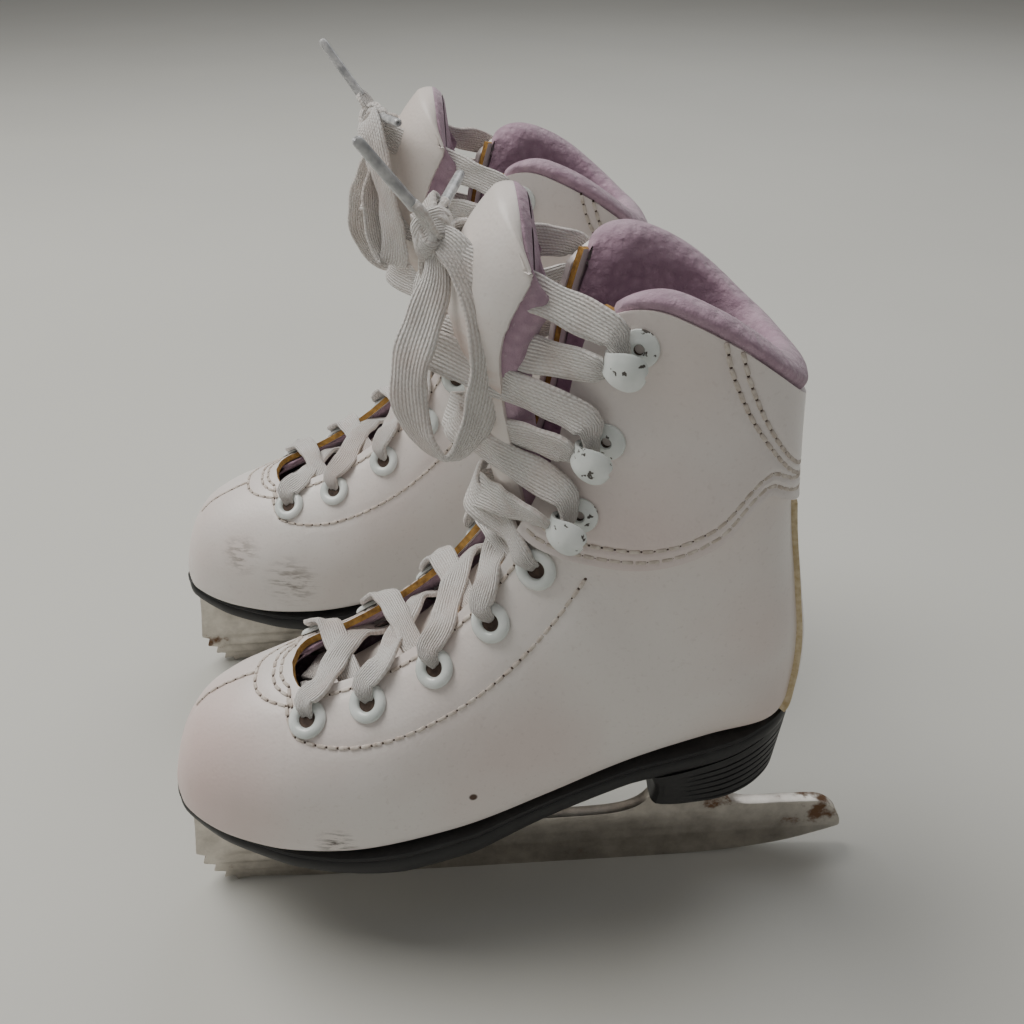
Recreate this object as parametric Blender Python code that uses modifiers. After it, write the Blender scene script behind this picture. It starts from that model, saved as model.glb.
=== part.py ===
"""A pair of child's lace-up figure skates: padded ankle boots on steel pick blades.

Every skate is laid out in its own frame (millimetres): u runs from the front pick tooth to the
heel, v is sideways with the outer side of the left foot at -v, w is up from the ice.
The right skate is the mirror of the left one.
"""
import math

import bmesh
import bpy
import numpy as np
from mathutils import Matrix, Vector

# ---- overall sizes, millimetres -------------------------------------------------------------
BLADE_LENGTH = 186.0
BLADE_THICKNESS = 3.8
BOOT_WIDTH = 61.0
BOOT_HEIGHT = 183.0
CLEARANCE = 0.3

# ---- boot layers, depth below the outer face of the lower ------------------------------------
LOWER_THICKNESS = 1.6
CUFF_THICKNESS = 1.4
CUFF_GAP = 0.8
STAY_THICKNESS = 0.8
STAY_GAP = 0.8
LINING_THICKNESS = 3.0
INSOLE_THICKNESS = 2.0
STAY_OUTER = LOWER_THICKNESS + STAY_GAP
STAY_INNER = STAY_OUTER + STAY_THICKNESS
LINING_OUTER = STAY_INNER + STAY_GAP
LINING_INNER = LINING_OUTER + LINING_THICKNESS
INSOLE_TOP = LINING_INNER + CLEARANCE + INSOLE_THICKNESS

# ---- lacing hardware ---------------------------------------------------------------------------
EYELET_FLANGE_RADIUS = 4.5
EYELET_BORE_RADIUS = 2.5
EYELET_BARREL_RADIUS = 3.2
EYELET_FLANGE_HEIGHT = 0.9
EYELET_SEAT = 0.95
EYELET_FROM_EDGE = 7.8
HOOK_FROM_EDGE = 10.0
HOOK_BASE_RADIUS = 4.2
HOOK_SHANK_RADIUS = 1.5
LACE_RADIUS = 1.5
KNOT_RADIUS = 6.5
AGLET_RADIUS = 1.6
AGLET_LENGTH = 17.0

# ---- sole, heel and blade ------------------------------------------------------------------------
SOLE_EDGE = 0.9
SOLE_BOTTOM = 31.5
HEEL_BOTTOM = 40.0
HEEL_FRONT = 124.0
HEEL_TAPER = 0.9
PLATE_THICKNESS = 1.6
FRONT_PLATE_START = 16.0
FRONT_PLATE_END = 76.0
HEEL_PLATE_START = 128.0
HEEL_PLATE_END = 156.0
SCREW_HEAD_RADIUS = 3.2
SCREW_SHANK_RADIUS = 1.6

# ---- where the two skates stand ----------------------------------------------------------------
LEFT_PLACE = (-89.3, -49.0)
LEFT_TURN = 4.2
RIGHT_PLACE = (-111.7, 49.0)
RIGHT_TURN = 5.9

# ---- boot sections from the toe, over the instep and up the ankle --------------------------------
# (bottom or back u, w), (ridge u, w), half width, height share of the widest point,
# roundness below, roundness above, half width of the throat, rise of the middle
SECTIONS = [
    ((0.6, 46.0), (0.6, 46.0), 0.0, 0.45, 2.4, 2.0, 0.0, 0.0),
    ((1.6, 38.8), (3.6, 57.5), 9.0, 0.42, 2.6, 2.2, 0.0, 0.0),
    ((6.0, 37.9), (9.5, 66.5), 15.5, 0.40, 3.0, 2.2, 0.0, 0.0),
    ((14.0, 37.3), (18.0, 72.0), 21.5, 0.38, 3.4, 2.1, 0.0, 0.0),
    ((24.0, 37.0), (28.0, 76.0), 26.0, 0.36, 3.6, 2.0, 0.0, 0.0),
    ((33.0, 37.0), (36.5, 79.0), 28.5, 0.35, 3.8, 2.0, 9.5, 0.0),
    ((46.0, 37.5), (48.5, 84.0), 30.3, 0.34, 3.8, 2.0, 12.0, 0.0),
    ((60.0, 39.0), (60.5, 91.5), 30.5, 0.34, 3.6, 2.0, 13.0, 0.0),
    ((78.0, 42.0), (71.0, 101.0), 29.3, 0.36, 3.4, 2.0, 13.5, 0.0),
    ((97.0, 48.0), (78.0, 111.0), 28.0, 0.38, 3.2, 2.0, 14.0, 0.0),
    ((118.0, 55.5), (82.5, 120.5), 27.0, 0.42, 3.0, 2.0, 14.5, 0.0),
    ((140.0, 61.5), (85.0, 129.5), 26.8, 0.46, 2.8, 2.0, 15.0, 0.0),
    ((157.0, 63.5), (87.0, 138.0), 26.8, 0.48, 2.4, 2.0, 15.5, 0.0),
    ((162.0, 72.0), (88.5, 146.0), 26.6, 0.47, 2.2, 2.0, 16.0, 0.0),
    ((161.6, 87.0), (90.0, 153.5), 26.6, 0.45, 2.2, 2.0, 16.5, 0.5),
    ((158.4, 103.0), (91.5, 161.0), 27.0, 0.44, 2.2, 2.0, 17.0, 1.5),
    ((154.6, 121.0), (93.0, 168.0), 27.3, 0.44, 2.2, 2.0, 17.5, 3.2),
    ((152.4, 138.5), (95.0, 175.5), 27.2, 0.44, 2.2, 2.0, 18.0, 4.8),
    ((151.2, 154.5), (97.5, BOOT_HEIGHT), 27.0, 0.45, 2.2, 2.0, 18.5, 6.2),
    ((151.0, 162.5), (99.6, BOOT_HEIGHT + 7.0), 27.4, 0.45, 2.2, 2.0, 19.0, 6.2),
]
WIDTH_SCALE = BOOT_WIDTH / 61.0
COLLAR = 18.0
EYELET_STATIONS = (5.25, 6.45, 7.8, 9.25, 10.85)
HOOK_STATIONS = (12.9, 15.05, 17.1)
THROAT_START = 4.7


def rows_of(table):
    flat = []
    for (bu, bw), (tu, tw), width, widest, low, high, throat, rise in table:
        flat.append([bu, bw, tu, tw, width, widest, low, high, throat, rise])
    return np.array(flat, float)


SECTION_ROWS = rows_of(SECTIONS)


def section_at(station):
    """Smooth blend of the section table at a fractional station."""
    last = len(SECTION_ROWS) - 1
    station = min(max(station, 0.0), float(last))
    low = min(int(math.floor(station)), last - 1)
    part = station - low
    before = SECTION_ROWS[max(low - 1, 0)]
    start = SECTION_ROWS[low]
    end = SECTION_ROWS[low + 1]
    after = SECTION_ROWS[min(low + 2, last)]
    row = 0.5 * (
        2.0 * start
        + (end - before) * part
        + (2.0 * before - 5.0 * start + 4.0 * end - after) * part**2
        + (3.0 * start - before - 3.0 * end + after) * part**3
    )
    if station < THROAT_START:
        row[8] = 0.0
    elif station < 5.0:
        row[8] = SECTION_ROWS[5][8] * math.sqrt((station - THROAT_START) / (5.0 - THROAT_START))
    if station < 1.0:
        row[4] = SECTION_ROWS[1][4] * math.sqrt(part)
    return row


def boot_point(station, turn, depth=0.0):
    """Point of the boot surface: turn -1..1 runs right edge, sole or back, left edge at depth."""
    row = section_at(station)
    toe = math.exp(-station / 1.3)
    bottom = np.array([row[0] + depth * toe, row[1]])
    ridge = np.array([row[2] + depth * toe, row[3]])
    up = ridge - bottom
    height = max(np.linalg.norm(up), 1e-6)
    up = up / height
    shrink = min(depth, 0.45 * height)
    bottom = bottom + up * shrink
    height = height - 2.0 * shrink
    half = max(row[4] * WIDTH_SCALE - depth, 0.0)
    widest = row[5]
    throat = min(row[8] * WIDTH_SCALE / max(row[4] * WIDTH_SCALE, 1e-6), 0.98)
    end = math.acos(throat ** (row[7] / 2.0)) if throat > 0.0 else math.pi / 2
    angle = -math.pi / 2 + abs(turn) * (math.pi / 2 + end)
    if angle < 0.0:
        power = 2.0 / row[6]
        share = widest - widest * abs(math.sin(angle)) ** power
    else:
        power = 2.0 / row[7]
        share = widest + (1.0 - widest) * math.sin(angle) ** power
    across = half * max(math.cos(angle), 0.0) ** power
    along = np.array([-up[1], up[0]])
    rise = row[9] * math.sin(math.pi * min(max(share, 0.0), 1.0))
    place = bottom + up * height * share - along * rise
    side = -1.0 if turn < 0 else 1.0
    return np.array([place[0], side * across, place[1]])


def outward(station, turn, depth=0.0):
    """Unit vector leaving the boot surface."""
    step = 0.02
    turn = max(min(turn, 0.995), -0.995)
    a = boot_point(station + step, turn, depth) - boot_point(station - step, turn, depth)
    b = boot_point(station, turn + step / 4, depth) - boot_point(station, turn - step / 4, depth)
    n = np.cross(b, a)
    n = n / np.linalg.norm(n)
    row = section_at(station)
    centre = np.array([(row[0] + row[2]) / 2, 0.0, (row[1] + row[3]) / 2])
    if np.dot(n, boot_point(station, turn, depth) - centre) < 0:
        n = -n
    return n


def turn_from_edge(station, side, distance, depth=0.0):
    """The turn value that lies the given distance in from the throat edge."""
    turn = 1.0
    edge = boot_point(station, side * 1.0, depth)
    while turn > 0.1:
        turn -= 0.002
        if np.linalg.norm(boot_point(station, side * turn, depth) - edge) >= distance:
            break
    return side * turn


def turn_at_width(station, share):
    """The turn on the +v side whose height share is the given one."""
    best = 0.0
    row = section_at(station)
    bottom = np.array([row[0], row[1]])
    ridge = np.array([row[2], row[3]])
    up = (ridge - bottom) / np.dot(ridge - bottom, ridge - bottom)
    for step in range(401):
        turn = step / 400.0
        point = boot_point(station, turn)
        value = np.dot(np.array([point[0], point[2]]) - bottom, up)
        if value <= share:
            best = turn
    return best


# ---- scene helpers --------------------------------------------------------------------------------
def clear_scene():
    for obj in list(bpy.data.objects):
        bpy.data.objects.remove(obj)


def new_collection(name):
    group = bpy.data.collections.new(name)
    bpy.context.scene.collection.children.link(group)
    return group


def material(name, colour, roughness, metallic):
    made = bpy.data.materials.new(name)
    made.use_nodes = True
    shader = made.node_tree.nodes["Principled BSDF"]
    shader.inputs["Base Color"].default_value = (*colour, 1.0)
    shader.inputs["Roughness"].default_value = roughness
    shader.inputs["Metallic"].default_value = metallic
    return made


def mesh_object(name, points, faces, group):
    mesh = bpy.data.meshes.new(name)
    mesh.from_pydata([tuple(float(x) / 1000.0 for x in p) for p in points], [], faces)
    mesh.validate()
    obj = bpy.data.objects.new(name, mesh)
    group.objects.link(obj)
    return obj


def tidy(obj, merge=1e-6):
    """Weld coincident corners and turn every face outward."""
    work = bmesh.new()
    work.from_mesh(obj.data)
    bmesh.ops.remove_doubles(work, verts=work.verts, dist=merge)
    bmesh.ops.dissolve_degenerate(work, edges=work.edges, dist=1e-7)
    bmesh.ops.recalc_face_normals(work, faces=work.faces)
    work.to_mesh(obj.data)
    work.free()
    return obj


def layer(name, outer, inner, columns, group):
    """A closed wall between two point grids; coincident grid points are shared."""
    keys = {}
    index = []
    outer_points = []
    inner_points = []
    for a, b in zip(outer, inner):
        key = tuple(round(float(x), 4) for x in a)
        if key not in keys:
            keys[key] = len(outer_points)
            outer_points.append(a)
            inner_points.append(b)
        index.append(keys[key])
    count = len(outer_points)
    faces = []
    rows = len(outer) // columns
    for r in range(rows - 1):
        for c in range(columns - 1):
            corners = [
                index[r * columns + c],
                index[r * columns + c + 1],
                index[(r + 1) * columns + c + 1],
                index[(r + 1) * columns + c],
            ]
            loop = []
            for corner in corners:
                if corner not in loop:
                    loop.append(corner)
            if len(loop) > 2:
                faces.append(loop)
    edges = {}
    for loop in faces:
        for i, start in enumerate(loop):
            end = loop[(i + 1) % len(loop)]
            edges.setdefault(frozenset((start, end)), []).append((start, end))
    walls = []
    for uses in edges.values():
        if len(uses) == 1:
            start, end = uses[0]
            walls.append([end, start, start + count, end + count])
    inside = [[corner + count for corner in reversed(loop)] for loop in faces]
    obj = mesh_object(name, outer_points + inner_points, faces + inside + walls, group)
    return tidy(obj, 1e-7)


def boot_layer(name, stations, turns, outer_depth, inner_depth, group):
    outer = []
    inner = []
    for i, station in enumerate(stations):
        for j, turn in enumerate(turns):
            s = station(turn) if callable(station) else station
            t = turn(s) if callable(turn) else turn
            outer.append(boot_point(s, t, outer_depth(s) if callable(outer_depth) else outer_depth))
            inner.append(boot_point(s, t, inner_depth(s) if callable(inner_depth) else inner_depth))
    return layer(name, outer, inner, len(turns), group)


def lathe(name, profile, centre, axis, group, steps=12):
    """Turned piece: the profile holds (radius, height) pairs down the outer side."""
    points = [Vector((r / 1000.0, 0.0, h / 1000.0)) for r, h in profile]
    mesh = bpy.data.meshes.new(name)
    mesh.from_pydata(points, [(i, i + 1) for i in range(len(points) - 1)], [])
    obj = bpy.data.objects.new(name, mesh)
    group.objects.link(obj)
    turn = obj.modifiers.new("Turn", "SCREW")
    turn.axis = "Z"
    turn.steps = steps
    turn.render_steps = steps
    turn.use_merge_vertices = True
    turn.merge_threshold = 0.00001
    turned = real_mesh(obj, group)
    tidy(turned, 1e-6)
    frame = Vector((0, 0, 1)).rotation_difference(Vector(axis)).to_matrix().to_4x4()
    turned.data.transform(Matrix.Translation(Vector(centre) / 1000.0) @ frame)
    return turned


def real_mesh(obj, group):
    """The object's evaluated shape as a plain mesh object of the same name."""
    bpy.context.view_layer.update()
    graph = bpy.context.evaluated_depsgraph_get()
    mesh = bpy.data.meshes.new_from_object(obj.evaluated_get(graph))
    name = obj.name
    place = obj.matrix_world.copy()
    bpy.data.objects.remove(obj)
    made = bpy.data.objects.new(name, mesh)
    made.matrix_world = place
    group.objects.link(made)
    return made


def tube(name, points, radius, group, closed=False):
    curve = bpy.data.curves.new(name, "CURVE")
    curve.dimensions = "3D"
    curve.bevel_depth = radius / 1000.0
    curve.bevel_resolution = 2
    curve.use_fill_caps = True
    spline = curve.splines.new("POLY")
    spline.points.add(len(points) - 1)
    for knot, point in zip(spline.points, points):
        knot.co = (*[float(x) / 1000.0 for x in point], 1.0)
    spline.use_cyclic_u = closed
    obj = bpy.data.objects.new(name, curve)
    group.objects.link(obj)
    return tidy(real_mesh(obj, group), 1e-6)


def combine(target, tool, operation, solver="EXACT"):
    """Boolean of two plain meshes, applied straight away; the tool is removed."""
    cut = target.modifiers.new("Cut", "BOOLEAN")
    cut.operation = operation
    cut.solver = solver
    cut.object = tool
    group = target.users_collection[0]
    made = real_mesh(target, group)
    bpy.data.objects.remove(tool)
    return tidy(made, 1e-6)


def plate(name, outline, holes, thickness, group):
    """Flat plate standing in the u-w plane from outlines filled by a 2-D curve."""
    curve = bpy.data.curves.new(name, "CURVE")
    curve.dimensions = "2D"
    curve.fill_mode = "BOTH"
    curve.extrude = thickness / 2000.0
    for loop in [outline] + holes:
        spline = curve.splines.new("POLY")
        spline.points.add(len(loop) - 1)
        for knot, (u, w) in zip(spline.points, loop):
            knot.co = (u / 1000.0, w / 1000.0, 0.0, 1.0)
        spline.use_cyclic_u = True
    obj = bpy.data.objects.new(name, curve)
    obj.rotation_euler = (math.pi / 2, 0.0, 0.0)
    group.objects.link(obj)
    bpy.context.view_layer.update()
    made = real_mesh(obj, group)
    made.data.transform(made.matrix_world)
    made.matrix_world = Matrix.Identity(4)
    return tidy(made, 1e-6)


def smooth_path(points, pieces):
    """Rounded run of points through the given ones."""
    pts = [np.array(p, float) for p in points]
    out = [pts[0]]
    for i in range(len(pts) - 1):
        p0 = pts[max(i - 1, 0)]
        p1 = pts[i]
        p2 = pts[i + 1]
        p3 = pts[min(i + 2, len(pts) - 1)]
        for k in range(1, pieces + 1):
            t = k / pieces
            q = 0.5 * (2 * p1 + (p2 - p0) * t + (2 * p0 - 5 * p1 + 4 * p2 - p3) * t**2)
            out.append(q + 0.5 * (3 * p1 - p0 - 3 * p2 + p3) * t**3)
    return out


# ---- boot ---------------------------------------------------------------------------------------------
SHELL_STATIONS = [0, 0.3, 1, 2, 3.2, THROAT_START, 5, 6, 7, 8, 9, 10, 11, 12, 13, 14, 15.4, 16.7, 17.8]
SHELL_TURNS = [i / 6 for i in range(-6, 7)]


def make_lower(prefix, group):
    return boot_layer(prefix + "lower_shell", SHELL_STATIONS, SHELL_TURNS, 0.0, LOWER_THICKNESS, group)


def seam_station(turn):
    """Lower edge of the cuff, from the back seam down to the facing."""
    part = max((abs(turn) - 0.43) / 0.57, 0.0)
    return 16.35 - 5.25 * part**2 * (3.0 - 2.0 * part)


def make_cuff(prefix, group):
    outer = []
    inner = []
    turns = SHELL_TURNS
    steps = 4
    for i in range(steps + 1):
        for turn in turns:
            low = seam_station(turn)
            station = low + (COLLAR - low) * i / steps
            outer.append(boot_point(station, turn, -CUFF_THICKNESS - CUFF_GAP))
            inner.append(boot_point(station, turn, -CUFF_GAP))
    return layer(prefix + "cuff", outer, inner, len(turns), group)


def make_backstay(prefix, group):
    outer = []
    inner = []
    turns = [i * 0.045 for i in range(-2, 3)]
    for i in range(6):
        station = 12.35 + (16.0 - 12.35) * i / 5
        for turn in turns:
            outer.append(boot_point(station, turn, -2 * CLEARANCE - 0.9))
            inner.append(boot_point(station, turn, -2 * CLEARANCE))
    return layer(prefix + "backstay", outer, inner, len(turns), group)


def lining_depths(station):
    """Outer and inner depth of the padded lining; the top rolls over the cuff."""
    if station < 18.1:
        return LINING_OUTER, LINING_INNER
    if station < 18.3:
        return 0.4, LINING_INNER + 0.8
    if station < 18.5:
        return 0.0, LINING_INNER + 0.8
    return 2.4, LINING_INNER - 1.0


def make_lining(prefix, group):
    outer = []
    inner = []
    for station in [s for s in SHELL_STATIONS if s >= 1] + [18.15, 18.4, 18.75]:
        limit = 1.0
        if station >= 5:
            limit = abs(turn_from_edge(station, 1, 14.5))
        out_depth, in_depth = lining_depths(station)
        for turn in SHELL_TURNS:
            held = max(-limit, min(limit, turn))
            outer.append(boot_point(station, held, out_depth))
            inner.append(boot_point(station, held, in_depth))
    return layer(prefix + "lining", outer, inner, len(SHELL_TURNS), group)


def make_insole(prefix, group):
    top = []
    bottom = []
    for station in [s for s in SHELL_STATIONS if 1 <= s <= 11]:
        for step in (-2, -1, 0, 1, 2):
            top.append(boot_point(station, step / 6, INSOLE_TOP))
            bottom.append(boot_point(station, step / 6, LINING_INNER + CLEARANCE))
    return layer(prefix + "insole", top, bottom, 5, group)


TONGUE_ROWS = [
    # centre front u, w, half width, wrap depth
    (43.5, 66.8, 9.0, 2.0),
    (53.5, 72.0, 10.5, 2.5),
    (65.0, 80.0, 11.0, 3.0),
    (76.0, 91.0, 11.0, 3.0),
    (86.0, 104.0, 11.0, 4.0),
    (90.8, 118.5, 11.0, 5.0),
    (86.5, 137.0, 12.0, 9.0),
    (81.5, 155.0, 13.2, 13.0),
    (80.5, 171.0, 14.6, 18.0),
    (83.0, 186.0, 16.6, 20.0),
    (88.5, 194.5, 16.6, 18.0),
]


def tongue_grid(depth, lift=0.0, rows=None):
    """Points of the tongue's face moved inward by depth."""
    points = []
    table = rows or TONGUE_ROWS
    for i, (u, w, half, wrap) in enumerate(table):
        before = table[max(i - 1, 0)]
        after = table[min(i + 1, len(table) - 1)]
        along = np.array([after[0] - before[0], after[1] - before[1]])
        along = along / np.linalg.norm(along)
        inward = np.array([along[1], -along[0]])
        for j in range(-3, 4):
            angle = math.radians(78.0) * j / 3
            reach = (half - depth) * math.sin(angle) / math.sin(math.radians(78.0))
            back = wrap * (1.0 - math.cos(angle)) + depth
            place = np.array([u, w]) + inward * back
            points.append(np.array([place[0], reach * WIDTH_SCALE, place[1] + lift]))
    return points


def make_tongue(prefix, group):
    face = layer(prefix + "tongue", tongue_grid(0.0), tongue_grid(1.6), 7, group)
    pad = layer(prefix + "tongue_lining", tongue_grid(2.3), tongue_grid(5.6), 7, group)
    return face, pad


# ---- lacing hardware -------------------------------------------------------------------------------------
def wall_point(station, turn, depth=0.0):
    """Point on the flat facets of the lower shell rather than on the ideal curve."""
    low = max([s for s in SHELL_STATIONS if s <= station])
    high = min([s for s in SHELL_STATIONS if s > station])
    left = max([t for t in SHELL_TURNS if t <= turn])
    right = min([t for t in SHELL_TURNS if t > turn])
    along = (station - low) / (high - low)
    across = (turn - left) / (right - left)
    start = boot_point(low, left, depth) * (1 - across) + boot_point(low, right, depth) * across
    end = boot_point(high, left, depth) * (1 - across) + boot_point(high, right, depth) * across
    return start * (1 - along) + end * along


def wall_place(station, side, distance):
    """Turn, point and outward direction on the facing, the given distance from its edge."""
    turn = turn_from_edge(station, side, distance)
    step = 0.01
    a = wall_point(station + step, turn) - wall_point(station - step, turn)
    b = wall_point(station, turn + step) - wall_point(station, turn - step)
    n = np.cross(b, a)
    n = n / np.linalg.norm(n)
    if np.dot(n, outward(station, turn)) < 0:
        n = -n
    return turn, wall_point(station, turn), n


def eyelet_place(station, side):
    return wall_place(station, side, EYELET_FROM_EDGE)


def hook_place(station, side):
    return wall_place(station, side, HOOK_FROM_EDGE)


def make_stay(prefix, side, group):
    """Facing reinforcement with the five eyelets clenched through it."""
    label = "outer" if side < 0 else "inner"
    outer = []
    inner = []
    for station in (4.95, 6, 7, 8, 9, 10, 11, 11.7):
        for turn in (side * 0.965, side * 5 / 6, side * 4.7 / 6):
            outer.append(wall_point(station, turn, STAY_OUTER))
            inner.append(wall_point(station, turn, STAY_INNER))
    stay = layer(prefix + "eyelet_stay_" + label, outer, inner, 3, group)
    for station in EYELET_STATIONS:
        turn, place, normal = eyelet_place(station, side)
        bore = lathe("bore", ring(-6, 3, EYELET_BORE_RADIUS + 0.35), place, normal, group, 8)
        stay = combine(stay, bore, "DIFFERENCE", "MANIFOLD")
    for station in EYELET_STATIONS:
        turn, place, normal = eyelet_place(station, side)
        eyelet = lathe("eyelet", eyelet_profile(), place, normal, group, 8)
        stay = combine(stay, eyelet, "UNION", "MANIFOLD")
    return stay


def ring(low, high, radius):
    return [(0.0, high), (radius, high), (radius, low), (0.0, low)]


def eyelet_profile():
    top = EYELET_SEAT + EYELET_FLANGE_HEIGHT
    low = -STAY_INNER - 0.6
    return [
        (EYELET_BORE_RADIUS, top),
        (EYELET_FLANGE_RADIUS - 0.6, top),
        (EYELET_FLANGE_RADIUS, EYELET_SEAT),
        (EYELET_BARREL_RADIUS, EYELET_SEAT),
        (EYELET_BARREL_RADIUS, low),
        (EYELET_BORE_RADIUS, low),
        (EYELET_BORE_RADIUS, top),
    ]


HOOK_BASE = CUFF_GAP + CUFF_THICKNESS + CLEARANCE


def hook_profile():
    head = -LOWER_THICKNESS - 2 * CLEARANCE
    return [
        (0.0, HOOK_BASE + 0.9),
        (HOOK_BASE_RADIUS, HOOK_BASE + 0.6),
        (HOOK_BASE_RADIUS, HOOK_BASE),
        (HOOK_SHANK_RADIUS, HOOK_BASE),
        (HOOK_SHANK_RADIUS, head),
        (HOOK_SHANK_RADIUS + 0.8, head),
        (0.0, head - 0.6),
    ]


def hook_frame(station, side):
    """Place, outward direction and the direction away from the throat."""
    turn, place, normal = hook_place(station, side)
    away = boot_point(station, turn - side * 0.02) - boot_point(station, turn + side * 0.02)
    away = away - normal * np.dot(away, normal)
    away = away / np.linalg.norm(away)
    return place, normal, away


def make_hook(prefix, number, side, group):
    """Riveted speed hook: base, stem and a tongue bent back away from the throat."""
    station = HOOK_STATIONS[number]
    place, normal, away = hook_frame(station, side)
    label = "outer" if side < 0 else "inner"
    name = "%shook_%s_%d" % (prefix, label, number + 1)
    hook = lathe(name, hook_profile(), place, normal, group, 8)
    cross = np.cross(normal, away)
    base = HOOK_BASE + 0.3
    top = base + 2.0 * LACE_RADIUS + 2.6
    path = [(-1.6, base), (-1.9, base + 2.4), (-1.2, top - 1.0), (1.0, top), (4.4, top - 0.4)]
    half = [1.7, 1.5, 2.2, 3.0, 2.2]
    thick = 0.55
    points = []
    for i, (s, h) in enumerate(path):
        ahead = path[min(i + 1, len(path) - 1)]
        behind = path[max(i - 1, 0)]
        run = np.array([ahead[0] - behind[0], ahead[1] - behind[1]])
        run = run / np.linalg.norm(run)
        off = np.array([-run[1], run[0]]) * thick
        for sign, edge in ((1, -1), (1, 1), (-1, 1), (-1, -1)):
            q = place + away * (s + off[0] * sign) + normal * (h + off[1] * sign)
            points.append(q + cross * half[i] * edge)
    faces = [[3, 2, 1, 0], [16, 17, 18, 19]]
    for i in range(4):
        for k in range(4):
            a = 4 * i + k
            b = 4 * i + (k + 1) % 4
            faces.append([a, b, b + 4, a + 4])
    lip = tidy(mesh_object("lip", points, faces, group))
    return combine(hook, lip, "UNION")


def pierce(body, places, radius, group, reach=8.0, steps=8):
    for place, normal in places:
        cutter = lathe("drill", ring(-reach, reach, radius), place, normal, group, steps)
        body = combine(body, cutter, "DIFFERENCE")
    return body


def hardware_places():
    eyelets = []
    hooks = []
    for side in (-1, 1):
        for station in EYELET_STATIONS:
            turn, place, normal = eyelet_place(station, side)
            eyelets.append((place, normal))
        for station in HOOK_STATIONS:
            turn, place, normal = hook_place(station, side)
            hooks.append((place, normal))
    return eyelets, hooks


# ---- sole, heel and blade ------------------------------------------------------------------------------------
SOLE_LINE = [
    # u, half width, underside height
    (0.0, 0.0, 33.5),
    (1.6, 5.0, 33.2),
    (6.0, 9.6, 32.6),
    (14.0, 16.0, 31.9),
    (24.0, 21.2, SOLE_BOTTOM),
    (33.0, 25.2, SOLE_BOTTOM),
    (46.0, 28.6, SOLE_BOTTOM),
    (60.0, 29.8, SOLE_BOTTOM),
    (78.0, 27.2, 33.4),
    (97.0, 22.6, 39.3),
    (118.0, 20.4, 47.8),
    (140.0, 19.8, 55.0),
    (152.0, 15.4, 57.4),
    (159.5, 9.0, 58.6),
    (163.5, 0.0, 59.5),
]


def sole_top(u):
    us = [row[0] for row in SECTION_ROWS[1:13]]
    ws = [row[1] for row in SECTION_ROWS[1:13]]
    return float(np.interp(u, us, ws)) - CLEARANCE


def sole_under(u):
    return float(np.interp(u, [r[0] for r in SOLE_LINE], [r[2] for r in SOLE_LINE]))


def make_outsole(prefix, group):
    top = []
    bottom = []
    for u, half, under in SOLE_LINE:
        edge = (half + SOLE_EDGE * (1.0 if half > 0 else 0.0)) * WIDTH_SCALE
        shift = -SOLE_EDGE if u == 0.0 else (SOLE_EDGE if u == 163.5 else 0.0)
        for share in (-1.0, -0.5, 0.0, 0.5, 1.0):
            v = edge * share
            top.append(np.array([u + shift, v, sole_top(u)]))
            bottom.append(np.array([u + shift * 0.4, v * 0.97, under]))
    return layer(prefix + "outsole", top, bottom, 5, group)


def make_heel(prefix, group):
    """Ridged block tapering down and in from the seat to the tread."""
    us = [HEEL_FRONT, 140.0, 150.0, 157.5, 162.0, 163.6]
    loops = []
    for share, groove in heel_levels(4):
        loop = []
        for u in us:
            half = float(np.interp(u, [r[0] for r in SOLE_LINE], [r[1] for r in SOLE_LINE])) + 0.8
            half = 4.0 if u > 163.0 else half
            top = sole_under(u) - CLEARANCE
            w = top + (HEEL_BOTTOM - top) * share
            taper = 1.0 - 0.1 * HEEL_TAPER * share
            pull = (u - 140.0) * 0.09 * HEEL_TAPER * share
            front = 1.5 * share if u == HEEL_FRONT else 0.0
            back = groove if u > 163.0 else 0.0
            half = (half * taper - groove) * WIDTH_SCALE
            loop.append(np.array([u - pull + front - back, -half, w]))
        loops.append(loop + [np.array([p[0], -p[1], p[2]]) for p in reversed(loop)])
    count = len(loops[0])
    points = [p for loop in loops for p in loop]
    faces = []
    for i in range(len(loops) - 1):
        for k in range(count):
            a = i * count + k
            b = i * count + (k + 1) % count
            faces.append([a, b, b + count, a + count])
    for base, flip in ((0, True), ((len(loops) - 1) * count, False)):
        for k in range(count // 2 - 1):
            quad = [base + k, base + k + 1, base + count - 2 - k, base + count - 1 - k]
            faces.append(quad[::-1] if flip else quad)
    return tidy(mesh_object(prefix + "heel", points, faces, group))


def heel_levels(levels):
    """Alternating lands and shallow grooves down the heel."""
    rows = [(0.0, 0.0)]
    for k in range(1, levels):
        share = k / levels
        rows.append((share - 0.03, 0.0))
        rows.append((share, 0.5))
        rows.append((share + 0.03, 0.0))
    rows.append((1.0, 0.0))
    return rows


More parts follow.
